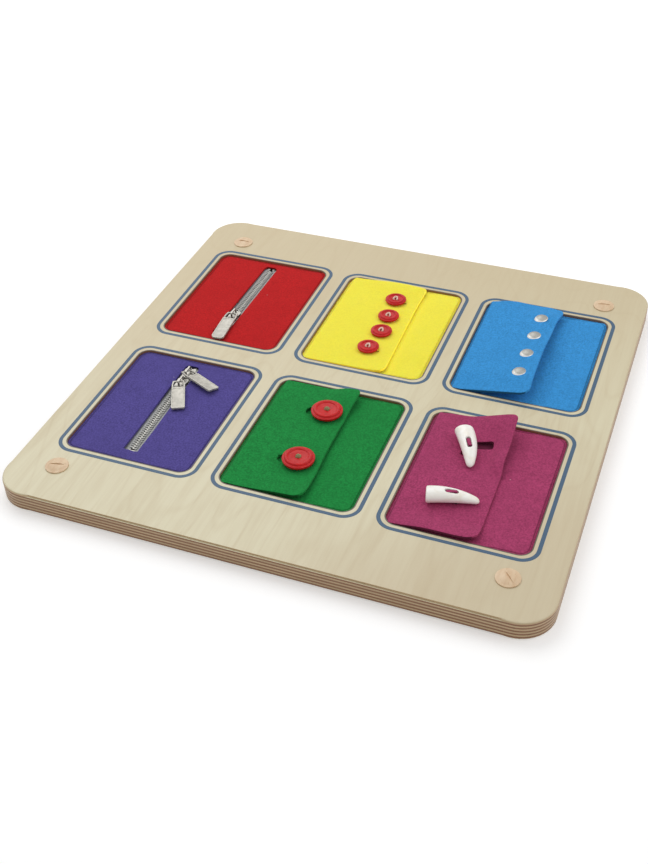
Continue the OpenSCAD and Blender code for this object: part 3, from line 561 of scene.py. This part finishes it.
def panelMaterial():
    look = {"fibre": paint(188, 150, 104), "dark": paint(140, 102, 64)}
    material, wire = newMaterial("pressed fibre panel")
    spot = wire.node("TexCoord", out="Object")
    fibre = (spot.stretched((1, 0.3, 1), 0.4).noise(900, 3, 0.7)
             + spot.stretched((0.3, 1, 1), 0.2).noise(900, 3, 0.7)) * 0.5
    clouds = spot.noise(26, 3, 0.6)
    tone = (fibre.rise(0.38, 0.62) * 0.7 + clouds * 0.3).tint(look["fibre"], look["dark"])
    surface(wire, {"Base Color": tone, "Roughness": 0.72, "Normal": wire.bump(fibre, 0.1, 0.4)})
    return material


plywood = plywoodMaterial()
beech = beechMaterial()
inkLine = printMaterial()
panelBoard = panelMaterial()
nickel = metalMaterial("satin nickel", paint(164, 161, 154), 0.34, 0.03)
castNickel = metalMaterial("cast nickel", paint(184, 181, 173), 0.56, 0.14)
toothMetal = metalMaterial("dull tooth metal", paint(146, 146, 143), 0.55, 0.02)
toothHead = metalMaterial("paler tooth heads", paint(178, 177, 172), 0.5, 0.02)
snapMetal = snapMaterial()
screwSteel = metalMaterial("zinc plated steel", paint(196, 196, 190), 0.3, 0.04)
buttonRed = buttonMaterial()
horn = hornMaterial()
paleThread = threadMaterial("pale pink thread", paint(255, 206, 186))
oliveThread = threadMaterial("olive thread", paint(146, 132, 88))
zipTape = tapeMaterial()
rustThread = threadMaterial("rust thread", paint(128, 52, 34))

# depth is how far a felt's tone varies, and lint how strong its pale specks are; the crease figure
# is how strongly its creases are painted with shade, and glow sets a painted glow on its upright
# faces and its real subsurface light
feltLook = {
    "red": {"colour": paint(190, 32, 34), "depth": 0.22, "lint": 0.25},
    "yellow": {"colour": paint(250, 234, 76), "depth": 0.06, "lint": 0.1,
               "creaseWithShade": 0.25, "glow": 0.5},
    "blue": {"colour": paint(60, 148, 214), "depth": 0.22, "lint": 0.2},
    "purple": {"colour": paint(86, 77, 146), "depth": 0.28, "lint": 0.4},
    "green": {"colour": paint(31, 136, 64), "depth": 0.3, "lint": 0.3},
    "magenta": {"colour": paint(170, 66, 107), "depth": 0.3, "lint": 0.3},
}
baseFelt, flapFelt = {}, {}
for name in windows:
    look, centre = feltLook[name], windowCentre(name)

    def rimLine(spot):
        across, along = spot.axis("X") - centre.x, spot.axis("Y") - centre.y
        return windowDistance(across, along) + felt["baseCrease"] * mm

    def foldLine(spot):
        left = centre.x - board["windowWidth"] / 2 * mm
        return spot.axis("X") - left - felt["foldCrease"] * mm

    def slotShade(spot):  # dark where the closed flap's slot stands open
        u, v, halfLong, halfTall = felt["underSlot"]
        sides = ((spot.axis("X") - centre.x - u * mm, halfLong),
                 (spot.axis("Y") - centre.y - v * mm, halfTall))
        inside = [1 - abs(offset).rise(half, half + felt["slotFade"], mm) for offset, half in sides]
        return inside[0] * inside[1]

    baseFelt[name] = feltMaterial(name + " felt base", look, rimLine,
                                  slotShade if name == "magenta" else None)
    if name not in zippedWindows:
        flapFelt[name] = feltMaterial(name + " felt flap", look, foldLine)
print("materials ready:", len(bpy.data.materials))

studio = {
    "cameraPlace": (0.30119, -0.81733, 0.67341), "cameraTurn": (50.49830, 1.43910, 20.83878),
    "lens": 48.628, "keyPlace": (-0.85, 0.85, 1.5), "keySize": 1.8, "keyPower": 16.5,
    "fillPlace": (1.3, 0.3, 1.2), "fillPower": 6.5, "room": 0.54, "floor": 0.8, "floorGlow": 0.34,
}


def softLight(name, place, size, power):
    clearSelection()
    bpy.ops.object.light_add(type="AREA", location=place)
    lamp = bpy.context.object
    lamp.name = name
    lamp.data.shape = "DISK"
    lamp.data.size = size
    lamp.data.energy = power
    lamp.rotation_euler = (-Vector(place)).to_track_quat("-Z", "Y").to_euler()


clearSelection()
bpy.ops.object.camera_add(location=studio["cameraPlace"],
                          rotation=[math.radians(turn) for turn in studio["cameraTurn"]])
camera = bpy.context.object
camera.data.sensor_width = 36
camera.data.lens = studio["lens"]
camera.data.clip_start = 0.01
scene.camera = camera
scene.view_settings.view_transform = "Standard"
softLight("key", studio["keyPlace"], studio["keySize"], studio["keyPower"])
softLight("fill", studio["fillPlace"], studio["keySize"], studio["fillPower"])


def seenRays(wire):  # camera, glossy and transmission rays: all that shows the backdrop
    path = wire.node("LightPath")
    rays = [Wire(wire.tree, path.socket.node.outputs[name])
            for name in ("Is Camera Ray", "Is Glossy Ray", "Is Transmission Ray")]
    return rays[0].sums("MAXIMUM", rays[0].sums("MAXIMUM", rays[0], rays[1]), rays[2])


world = bpy.data.worlds.new("studio")
scene.world = world
world.use_nodes = True
world.node_tree.nodes.clear()
wire = Wire(world.node_tree)
strength = seenRays(wire) * (1 - studio["room"]) + studio["room"]
sky = wire.node("Background", {"Color": (1, 1, 1, 1), "Strength": strength})
wire.node("OutputWorld", {"Surface": sky})

clearSelection()
bpy.ops.mesh.primitive_plane_add(size=9)
floor = bpy.context.object
floor.name = "floor"
floorPaint, wire = newMaterial("pale studio floor")
strength = seenRays(wire) * studio["floorGlow"]
glow = wire.node("Emission", {"Color": (1, 1, 1, 1), "Strength": strength})
matt = wire.node("BsdfDiffuse", {"Color": (studio["floor"],) * 3 + (1,)})
wire.node("OutputMaterial", {"Surface": wire.node("AddShader", {0: matt, 1: glow})})
paintOn(floor, floorPaint)
print("camera, light and floor placed")

dress(plywood, "front_board")
dress(panelBoard, "back_panel")
dress(screwSteel, "back_screws")

# the outline's measures are those of the stroke's middle; the ink is sunk a little into the wood
line = {
    "width": 131.8, "height": 163.5, "corner": 14.5, "stroke": 3.4, "thick": 0.06, "sunk": 0.02,
    "segments": 14,
}


def printedLine(name):
    tall = line["thick"] + line["sunk"]
    level = board["front"] + line["thick"] / 2 - line["sunk"] / 2
    centre = windowCentre(name) + Vector((0, 0, level)) * mm

    def plate(wider, height):
        size = (line["width"] + wider) * mm, (line["height"] + wider) * mm, height * mm
        corner = (line["corner"] + wider / 2) * mm
        return roundedBlock(size, corner, centre, segments=line["segments"])

    ring = plate(line["stroke"], tall)
    cutBy(ring, plate(-line["stroke"], 3 * tall))
    ring.name = name + "_printed_line"
    fitted(ring, inkLine, "plywood", None, "board")


for name in windows:
    printedLine(name)

cap = {"ease": 0.3, "places": ("near_left", "near_right", "far_left", "far_right")}
for place in cap["places"]:
    turned = easedCopy("cap_" + place, "turned_cap_" + place, cap["ease"])
    fitted(turned, beech, None, "cap_" + place, "cap_" + place)
print("wood dressed, six printed lines and four caps made")


def ease(value):
    value = np.clip(value, 0, 1)
    return value * value * (3 - 2 * value)


def hump(value):
    return np.sin(np.pi * np.clip(value, 0, 1)) ** 2


# in mm: what is merged after cutting, the width of the eased cut edges, and their angle in degrees
feltEdge = {"merge": 0.3, "ease": 0.5, "sharp": 50}


def feltSheet(name, centre, left, right, near, far, corner, cutters, cell):
    wide, deep = right - left, far - near
    thick = board["feltThick"] * mm
    base = board["feltTop"] * mm - thick
    clearSelection()
    bpy.ops.mesh.primitive_grid_add(x_subdivisions=round(wide / cell[0]),
                                    y_subdivisions=round(deep / cell[1]), size=1)
    sheet = bpy.context.object
    sheet.scale = (wide * mm, deep * mm, 1)
    middle = Vector(((left + right) / 2, (near + far) / 2, 0)) * mm + centre
    sheet.location = middle + Vector((0, 0, base))
    settle(sheet)
    applied(sheet, "SOLIDIFY", thickness=thick, offset=1)
    trim = roundedBlock((wide * mm - hair, deep * mm - hair, cutterTall), corner,
                        middle + Vector((0, 0, base)), segments=6)
    cutBy(sheet, trim, "INTERSECT")
    for cutter in cutters:
        cutBy(sheet, cutter)
    mergeDoubles(sheet, feltEdge["merge"] * mm)
    applied(sheet, "BEVEL", width=feltEdge["ease"] * mm, segments=2, limit_method="ANGLE",
            angle_limit=math.radians(feltEdge["sharp"]), use_clamp_overlap=False)
    sheet.name = sheet.data.name = name
    return sheet


def readPoints(sheet):
    points = np.empty(len(sheet.data.vertices) * 3)
    sheet.data.vertices.foreach_get("co", points)
    return points.reshape(-1, 3)


def writePoints(sheet, points):
    sheet.data.vertices.foreach_set("co", points.ravel())
    sheet.data.update()


bending = {"step": 0.05, "parts": 90, "least": 0.05}  # least keeps a steep spot from folding up


# heightAt gives the middle of the felt in mm from the mm along (u, from the window's left edge,
# true length) and across (v, from the window's middle), and stretchAt how far it is pulled askew
def bendSheet(sheet, centre, heightAt, stretchAt=lambda v: 0):
    points = readPoints(sheet)
    left = centre.x / mm - board["windowWidth"] / 2
    v = points[:, 1] / mm - centre.y / mm
    u = (points[:, 0] / mm - left) * (1 + stretchAt(v))
    proud = points[:, 2] / mm - (board["feltTop"] - board["feltThick"] / 2)
    step, parts, least = bending["step"], bending["parts"], bending["least"]

    def slopeU(at):
        return (heightAt(at + step, v) - heightAt(at - step, v)) / (2 * step)

    along = np.zeros(len(u))
    for part in range(parts):
        slope = slopeU(u * (part + 0.5) / parts)
        along += u / parts * np.sqrt(np.clip(1 - slope ** 2, least, 1))
    slope = slopeU(u)
    side = (heightAt(u, v + step) - heightAt(u, v - step)) / (2 * step)
    up = np.sqrt(np.clip(1 - slope ** 2 - side ** 2, least, 1))
    points[:, 0] = (left + along - slope * proud) * mm
    points[:, 1] = points[:, 1] - side * proud * mm
    points[:, 2] = (heightAt(u, v) + up * proud) * mm
    writePoints(sheet, points)


def laidSheet(sheet, size, rests):
    smoothShade(sheet, 40)
    size[0] * mm
    size[1] * mm


halfWide, halfDeep = board["windowWidth"] / 2, board["windowHeight"] / 2
ledge = board["ledge"]
middleHeight = board["feltTop"] - board["feltThick"] / 2

# the zips' places, shared by felt, tape, teeth and sliders
zips = {
    "red": {"lean": 1, "sliders": {"red_zip_slider": -30.8}, "swing": {"red_zip_pull": 5}},
    "purple": {"lean": -0.6, "sliders": {"purple_upper_slider": 53.6, "purple_lower_slider": 37.6},
               "swing": {"purple_upper_pull": 0, "purple_lower_pull": 0}},
}
slit = {"width": 14, "length": 130, "shift": (-2.4, 3.35), "nearCorner": 0.6, "farCorner": 4}


def zipSpot(name):
    place = windowCentre(name) + Vector((slit["shift"][0], slit["shift"][1], 0)) * mm
    return Matrix.Translation(place) @ Matrix.Rotation(-math.radians(zips[name]["lean"]), 4, "Z")


# a base with a flap starts past the flap's root, and swells only past the flap's free edge
baseCloth = {
    "besideRoot": 5.6, "flapEdge": 84, "rim": 2.6, "dome": 1.2, "zipDome": 0.7, "domeSlope": 10,
    "cell": (1.5, 2.0),
}


# slow unevenness of a sheet that is glued round its rim, with a low lip along a zip's slit
def baseWaves(name):
    zipped = name in zips
    swell = baseCloth["zipDome" if zipped else "dome"]
    start = 0 if zipped else baseCloth["flapEdge"]
    rim = baseCloth["rim"]

    def heightAt(u, v):
        inside = ease((halfWide - np.abs(u - halfWide)) / rim) * ease((halfDeep - np.abs(v)) / rim)
        wave = 0.16 * np.sin(u * 0.11 + v * 0.05 + len(name)) + 0.12 * np.sin(v * 0.13 - u * 0.06)
        dome = swell * ease((u - start) / baseCloth["domeSlope"])
        if zipped:
            gap = np.clip(np.abs(u - halfWide - slit["shift"][0]) - slit["width"] / 2, 0, 60)
            wave = wave + 0.3 * np.exp(-(gap / 5) ** 2) * (1 + 0.4 * np.sin(v * 0.09))
            wave = wave - dome * np.exp(-(gap / 4) ** 2)
        return middleHeight + inside * (wave + dome)
    return heightAt


for name in windows:
    centre = windowCentre(name)
    leftEdge = -halfWide - ledge if name in zips else -halfWide + baseCloth["besideRoot"]
    cutters = []
    if name in zips:
        corners = [(slit["nearCorner"] * mm, lambda spot: spot.y < 0),
                   (slit["farCorner"] * mm, lambda spot: spot.y > 0)]
        opening = roundedBlock((slit["width"] * mm, slit["length"] * mm, cutterTall), corners,
                               (0, 0, board["feltTop"] * mm), segments=4)
        cutters = [settle(opening, zipSpot(name))]
    sheet = feltSheet(name + "_base_cloth", centre, leftEdge, halfWide + ledge, -halfDeep - ledge,
                      halfDeep + ledge, board["pocketCorner"] * mm, cutters, baseCloth["cell"])
    bendSheet(sheet, centre, baseWaves(name))
    laidSheet(sheet, (halfWide + ledge - leftEdge, 2 * (halfDeep + ledge)), ["front_board"])
    fitted(sheet, baseFelt[name], name + "_felt", name + "_felt", "board")
print("six felt bases laid")

# a slot is its middle's u and v, its length and height, its corners' radius and any turn in
# degrees; bend is where a lifted flap starts and ends to bend, past the window's edge, and how high
flapCloth = {
    "sideGap": 1, "rootCorner": 5, "nearCorner": 9.5, "farCorner": 4, "cell": (1.2, 2.0),
    "foldStart": 0.3, "foldLength": 5.7, "climb": 2.6, "blueClimb": 2.61, "bend": (0.5, 9, 16.5),
    "yellow": {"width": 83.3,
               "slots": [(58.3, 44.1, 18.8, 4.2, 2.0), (60.6, 13.7, 18.8, 4.2, 2.0),
                         (62.2, -13.5, 18.8, 4.2, 2.0), (58.7, -42.7, 18.8, 4.2, 2.0)]},
    "green": {"width": 78.3, "slots": [(55.1, 38, 32.5, 10, 4.9), (55.1, -31, 32.5, 10, 4.9)]},
    "magenta": {"width": 78.3,
                "slots": [(42.3, 31.6, 9, 14.8, 2.2), (53, 41.5, 20, 8.6, 2.6, 14),
                          (40.8, -33.8, 25, 6.4, 2.6)]},
    "blue": {"width": 76.3, "slots": []},
}


def fold(u):
    return ease((u - flapCloth["foldStart"]) / flapCloth["foldLength"])


# the heights of each flap's middle layer, in mm, from u along it and v across it
def yellowHeight(u, v):
    lift = 0.5 * ease((u - 12) / 50)
    farEdge = 2.4 * hump((u - 4) / 100) * ease((v - 48) / 27)
    nearEdge = 0.8 * ease((u - 60) / 20) * ease((-v - 50) / 25)
    return middleHeight + flapCloth["climb"] * fold(u) + lift + farEdge + nearEdge


def greenHeight(u, v):
    lift = 1.6 * ease((u - 10) / 68) * ease((78 - v) / 50)
    corner = 5.6 * ease((u - 45) / 27) * ease((v - 36) / 39)
    nearEdge = 2.4 * ease((u - 18) / 60) * ease((-v - 50) / 25)
    freeEdge = 0.6 * ease((u - 71) / 8)
    return middleHeight + flapCloth["climb"] * fold(u) + lift + corner + nearEdge + freeEdge


def magentaHeight(u, v):
    corner = 13.3 * ease((u - 29) / 48) * ease((v - 34) / 41)
    freeEdge = 5.5 * ease((u - 60) / 14) * ease((v - 2) / 22) * (1 - 0.9 * ease((v - 34) / 41))
    nearEdge = (3.3 * ease((u - 6) / 34) + 0.9 * ease((u - 60) / 14)) * ease((-v - 53) / 22)
    farEdge = (0.9 * ease((u - 6) / 10) + 1.4 * hump((u - 8) / 60)) * ease((v - 55) / 20)
    return middleHeight + flapCloth["climb"] * fold(u) + corner + freeEdge + nearEdge + farEdge


def blueHeight(u, v):
    standing = 0.1633 * np.clip(u, 0, 90)
    arch = 1.2 * hump((u - 2) / 42) * ease((v - 20) / 50)
    outer = 5.2 * ease((u - 62) / 16) * ease((v + 5) / 50)
    farDroop = (4.8 * ease((u - 28) / 36) - 1.3 * ease((u - 64) / 12)) * ease((v - 51) / 25)
    nearDroop = 2 * ease(u / 14) * ease((-v - 50) / 25)
    climb = flapCloth["blueClimb"] + standing
    return middleHeight + climb * fold(u) + arch - outer - farDroop - nearDroop


# each flap's heights, and by what part it is longer, or below 0 shorter, along u at each v
flaps = {
    "yellow": (yellowHeight, lambda v: -0.00034 * v * (1 - ease((v - 30) / 45))),
    "green": (greenHeight, lambda v: -0.026 * ease((v + 50) / 50) * (1 - ease((v - 45) / 25))),
    "magenta": (magentaHeight, lambda v: -0.008 * ease((v + 62) / 75)),
    "blue": (blueHeight, lambda v: 0.028 * ease((v - 40) / 35) - 0.01 * hump((v + 70) / 110)),
}
for name, (heightAt, stretchAt) in flaps.items():
    centre = windowCentre(name)
    wide = flapCloth[name]["width"]
    reach = halfDeep - flapCloth["sideGap"]
    slots = []
    for u, v, long, tall, corner, *turn in flapCloth[name]["slots"]:
        place = centre.x + (u - halfWide) * mm, centre.y + v * mm, board["feltTop"] * mm
        slots.append(roundedBlock((long * mm, tall * mm, cutterTall), corner * mm, place,
                                  math.radians(sum(turn)), segments=6))
    corners = [(flapCloth["rootCorner"] * mm, lambda spot: spot.x < 0),
               (flapCloth["nearCorner"] * mm, lambda spot: spot.x > 0 > spot.y),
               (flapCloth["farCorner"] * mm, lambda spot: spot.x > 0 and spot.y > 0)]
    sheet = feltSheet(name + "_flap_cloth", centre, -halfWide - ledge, wide - halfWide, -reach,
                      reach, corners, slots, flapCloth["cell"])
    bendSheet(sheet, centre, heightAt, stretchAt)
    laidSheet(sheet, (wide + ledge, 2 * reach), [name + "_base_cloth"])
    fitted(sheet, flapFelt[name], name + "_felt", name + "_flap", None)
    edge = centre.x - halfWide * mm
    first, last, height = [part * mm for part in flapCloth["bend"]]
    name + "_flap"
    edge + first
    edge + last
    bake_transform(sheet)
print("four flaps folded")

# zip tape: two woven halves behind each slit
tape = {
    "inner": 1.9, "width": 12, "length": 140, "thick": 0.8, "under": 12.38, "cells": (16, 70),
    "bulge": 0.3, "bulgeWidth": 4.6, "ease": 0.2, "sharp": 60,
}


def tapeHalf(name, side):
    clearSelection()
    cells = tape["cells"]
    bpy.ops.mesh.primitive_grid_add(x_subdivisions=cells[0], y_subdivisions=cells[1], size=1)
    half = bpy.context.object
    half.name = half.data.name = name + "_zip_tape_" + ("right" if side > 0 else "left")
    for corner in half.data.uv_layers.active.data:  # in mm, across from the teeth and along
        across = corner.uv.x if side > 0 else 1 - corner.uv.x
        corner.uv = (across * tape["width"], corner.uv.y * tape["length"])
    half.scale = (tape["width"] * mm, tape["length"] * mm, 1)
    half.location = (side * (tape["inner"] + tape["width"] / 2) * mm, 0, tape["under"] * mm)
    settle(half)
    applied(half, "SOLIDIFY", thickness=tape["thick"] * mm, offset=1)
    for point in half.data.vertices:
        across = abs(point.co.x) / mm - tape["inner"]
        point.co.z += tape["bulge"] * mm * float(ease(1 - across / tape["bulgeWidth"]))
    applied(half, "BEVEL", width=tape["ease"] * mm, segments=2, limit_method="ANGLE",
            angle_limit=math.radians(tape["sharp"]))
    settle(half, zipSpot(name))
    laidSheet(half, (tape["width"], tape["length"]), [name + "_base_cloth"])
    fitted(half, zipTape, "zip_tape", name + "_zip_tape", "board")


# one tooth is modelled, set out along the row, and the other row mirrors the first
tooth = {
    "root": 3.75, "shoulder": 1.6, "tip": -0.45, "width": 1.8, "height": 2.7, "middle": 12.8,
    "pitch": 2.7, "count": 45, "inset": 0.22, "ease": 0.13, "taper": (1, 0.8, 0.85),
    "paleHeadsFrom": 1.5,
}


def toothRow(side):
    long = tooth["root"] - tooth["shoulder"]
    row = plainBlock((long * mm, tooth["width"] * mm, tooth["height"] * mm),
                     ((tooth["shoulder"] + long / 2) * mm, 0, tooth["middle"] * mm))
    pick(row, "FACE", lambda face: face.normal.x < -0.9)
    bpy.ops.mesh.inset(thickness=tooth["inset"] * mm)
    bpy.ops.mesh.extrude_region_move(
        TRANSFORM_OT_translate={"value": ((tooth["tip"] - tooth["shoulder"]) * mm, 0, 0)})
    bpy.ops.transform.resize(value=tooth["taper"])
    bpy.ops.mesh.select_all(action="SELECT")
    bpy.ops.mesh.bevel(offset=tooth["ease"] * mm, segments=1)
    editDone(row)
    paintOn(row, toothMetal)
    # the teeth's heads, by the chain's middle, get a paler metal than their bodies
    row.data.materials.append(toothHead)
    for face in row.data.polygons:
        face.material_index = int(face.center.x < tooth["paleHeadsFrom"] * mm)
    applied(row, "ARRAY", count=tooth["count"], use_relative_offset=False, use_constant_offset=True,
            constant_offset_displace=(0, tooth["pitch"] * mm, 0))
    first = -(tooth["count"] - 1) / 2 * tooth["pitch"]
    row.location.y = (first - side * tooth["pitch"] / 4) * mm
    row.scale.x = side
    settle(row)
    editAll(row)
    bpy.ops.mesh.normals_make_consistent(inside=False)
    return editDone(row)


# sliders lose their hidden divider, so that they pass the meshed teeth
slider = {
    "ease": 0.18, "divider": (1.4, 3.9, 3.22), "dividerY": 4.1, "pullEase": 0.22, "stopEase": 0.2,
}

for name, zipper in zips.items():
    for side in (1, -1):
        tapeHalf(name, side)
    chain = joined(name + "_zip_chain", [toothRow(1), toothRow(-1)])
    settle(chain, zipSpot(name))
    smoothShade(chain, 30)
    fitted(chain, None, "nickel", name + "_zip_teeth", "board")
    stops = easedCopy(name + "_zip_stops", name + "_zip_end_stops", slider["stopEase"])
    fitted(stops, nickel, "nickel", name + "_zip_stops", "board")
    for body, along in zipper["sliders"].items():
        divider = plainBlock([size * mm for size in slider["divider"]],
                             (0, (along + slider["dividerY"]) * mm, tooth["middle"] * mm))
        runner = easedCopy(body, body + "_runner", slider["ease"], settle(divider, zipSpot(name)))
        fitted(runner, nickel, "nickel", body, body)
    for (body, swing), along in zip(zipper["swing"].items(), zipper["sliders"].values()):
        tab = easedCopy(body, body + "_tab", slider["pullEase"])
        hung = Matrix.Translation(zipSpot(name) @ Vector((0, along * mm, 0)))
        tab.data.transform(hung @ Matrix.Rotation(math.radians(swing), 4, "Z") @ hung.inverted())
        fitted(tab, castNickel, "nickel", body, body)
print("two zips: tape, chain, stops, sliders and pulls made")


# sewing thread: a bevelled path through its points, in mm from a place
def strand(place, points, thick):
    clearSelection()
    bpy.ops.curve.primitive_nurbs_path_add()
    path = bpy.context.object
    spline = path.data.splines[0]
    spline.points.add(len(points) - len(spline.points))
    for knot, point in zip(spline.points, points):
        knot.co = (*(Vector(place) + Vector(point) * mm), 1)
    spline.order_u = 3
    spline.use_endpoint_u = True
    path.data.resolution_u = 6
    path.data.bevel_depth = thick / 2 * mm
    path.data.bevel_resolution = 3
    path.data.use_fill_caps = True
    bpy.ops.object.convert(target="MESH")
    return settle(bpy.context.object)


def sewn(name, strands, material, slotName, node, body):
    thread = joined(name, strands)
    activate(thread)
    bpy.ops.object.shade_smooth()
    fitted(thread, material, slotName, node, body)


# a button's disc, with the dish inside its rim made shallower
def buttonDisc(node, look):
    level, top, radius, rise, margin = look["dish"]
    x, y, _ = middleOf(node)
    place = Vector((x, y, 0))
    disc = easedCopy(node, node + "_disc", look["ease"])
    for point in disc.data.vertices:
        high = point.co.z / mm
        if high > level - margin and (point.co.xy - place.xy).length < radius * mm:
            point.co.z += rise * mm * (1 - min(1, max(0, (high - level) / (top - level))))
    fitted(disc, buttonRed, "button_red", node, node)
    return place


smallButton = {
    "holeAt": 1.9, "face": 22.2, "thread": 1.75, "spread": 2.05, "ease": 0.15,
    "dish": (21.58, 23.2, 6.9, 0.62, 0.2),  # level, rim's top, radius, rise and margin
    "tails": {1: -14, 4: -16}, "tailLong": 12.4, "tailHeight": 19.36, "tailThread": 0.7,
}
for number in (1, 2, 3, 4):
    node = f"small_button_{number}"
    place = buttonDisc(node, smallButton)
    hole, face = smallButton["holeAt"], smallButton["face"]
    strands = []
    for side in (-1, 1):
        lean = side * smallButton["spread"]
        strands.append(strand(place, [
            (side * 0.3, hole, face - 2.2), (side * 0.4, hole + 0.6, face + 0.5),
            (side * 0.5, hole * 0.7, face + 1.3), (lean * 0.75, -hole * 0.1, face + 1.1),
            (lean, -hole * 0.95, face + 0.7), (lean * 0.8, -hole - 0.6, face + 0.2),
            (side * 0.2, -hole, face - 2.2)], smallButton["thread"]))
    sewn(f"stitch_{number}", strands, paleThread, "pale_thread",
         f"small_button_thread_{number}", node)
    if number in smallButton["tails"]:
        turn = Matrix.Rotation(math.radians(smallButton["tails"][number]), 3, "Z")
        long, height = smallButton["tailLong"], smallButton["tailHeight"]
        tail = [turn @ Vector(point) for point in [
            (1.8, 0, height - 0.1), (long - 5, 0.3, height - 0.05), (long - 3, -0.1, height),
            (long - 1.5, 0.2, height + 0.35), (long, 0, height + 0.75)]]
        sewn(f"thread_tail_{number}", [strand(place, tail, smallButton["tailThread"])],
             rustThread, "pale_thread", None, node)

bigButton = {
    "holeAt": 2.3, "face": 25, "thread": 1.25, "ease": 0.18, "strands": (-0.95, 0, 0.95),
    "dish": (24.5, 26, 9.3, 0.55, 0.2),
}
for end in ("upper", "lower"):
    node = "big_button_" + end
    place = buttonDisc(node, bigButton)
    hole, face = bigButton["holeAt"], bigButton["face"]
    strands = []
    for layer, angle in enumerate((45, 135)):
        turn = Matrix.Rotation(math.radians(angle), 3, "Z")
        for offset in bigButton["strands"]:
            top = face + 0.75 + layer * 0.7 - abs(offset) * 0.4
            strands.append(strand(place, [turn @ Vector(point) for point in [
                (-hole, offset * 0.5, face - 2.6), (-hole - 0.1, offset * 0.8, face + 0.2),
                (-hole * 0.5, offset, top), (0, offset, top + 0.2), (hole * 0.5, offset, top),
                (hole + 0.1, offset * 0.8, face + 0.2), (hole, offset * 0.5, face - 2.6)]],
                bigButton["thread"]))
    sewn("cross_stitch_" + end, strands, oliveThread, "olive_thread",
         "big_button_thread_" + end, node)
dress(paleThread, "small_button_shanks")
dress(oliveThread, "big_button_shanks")
print("six buttons sewn on")

# snap fasteners, in one row
snap = {"ease": 0.25, "radius": 6.3, "wider": 1.08, "count": 4}
caps = easedCopy("snap_caps", "snap_cap_domes", snap["ease"])
low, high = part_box("snap_caps")
first = low[1] + snap["radius"] * mm
gap = (high[1] - low[1] - 2 * snap["radius"] * mm) / (snap["count"] - 1)
for point in caps.data.vertices:  # each widens about its own middle
    middle = ((low[0] + high[0]) / 2, first + round((point.co.y - first) / gap) * gap)
    for side in (0, 1):
        point.co[side] = middle[side] + (point.co[side] - middle[side]) * snap["wider"]
fitted(caps, snapMetal, "nickel", "snap_caps", "blue_flap")
dress(nickel, "snap_sockets", "snap_studs", "snap_posts")

# horn toggles on their felt straps, which run between base and toggle; twist and loops are
# heights in metres, follow is from what height and over how many mm a strap goes with its toggle
toggle = {
    "voxel": 0.5, "smoothing": 0.5, "smoothings": 5, "strapEase": 0.6, "twist": (0.0135, 0.0185),
    "loops": (0.0142, 0.015, 0.0158, 0.0166, 0.0174, 0.0182), "follow": (14, 4),
    "lean": {"upper": (2, -1), "lower": (0, 0)},
    "shift": {"upper": (1.4, 1.2, 1), "lower": (0, 0, 0)},
}
for end in ("upper", "lower"):
    peg = mergedCopy("toggle_" + end, "horn_toggle_" + end)
    applied(peg, "REMESH", mode="VOXEL", voxel_size=toggle["voxel"] * mm)
    applied(peg, "SMOOTH", factor=toggle["smoothing"], iterations=toggle["smoothings"])
    tilt, spin = [math.radians(turn) for turn in toggle["lean"][end]]
    pivot = Matrix.Translation(middleOf("toggle_" + end))
    shift = Matrix.Translation(Vector(toggle["shift"][end]) * mm)
    peg.data.transform(shift @ pivot @ Matrix.Rotation(spin, 4, "Z") @ Matrix.Rotation(tilt, 4, "X")
                       @ pivot.inverted())
    bpy.ops.object.shade_smooth()
    fitted(peg, horn, "ivory", "toggle_" + end, "toggle_" + end)
    node = "toggle_strap_" + end
    fromHeight, over = toggle["follow"]
    strap = easedCopy(node, "felt_strap_" + end, toggle["strapEase"])
    bisected(strap, toggle["loops"], (0, 0, 1))
    for point in strap.data.vertices:
        share = float(ease((point.co.z / mm - fromHeight) / over))
        point.co += Vector(toggle["shift"][end]) * mm * share
    smoothShade(strap, 60)
    fitted(strap, flapFelt["magenta"], "magenta_felt", node, None)
    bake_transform(strap)
print("snaps and toggles made")
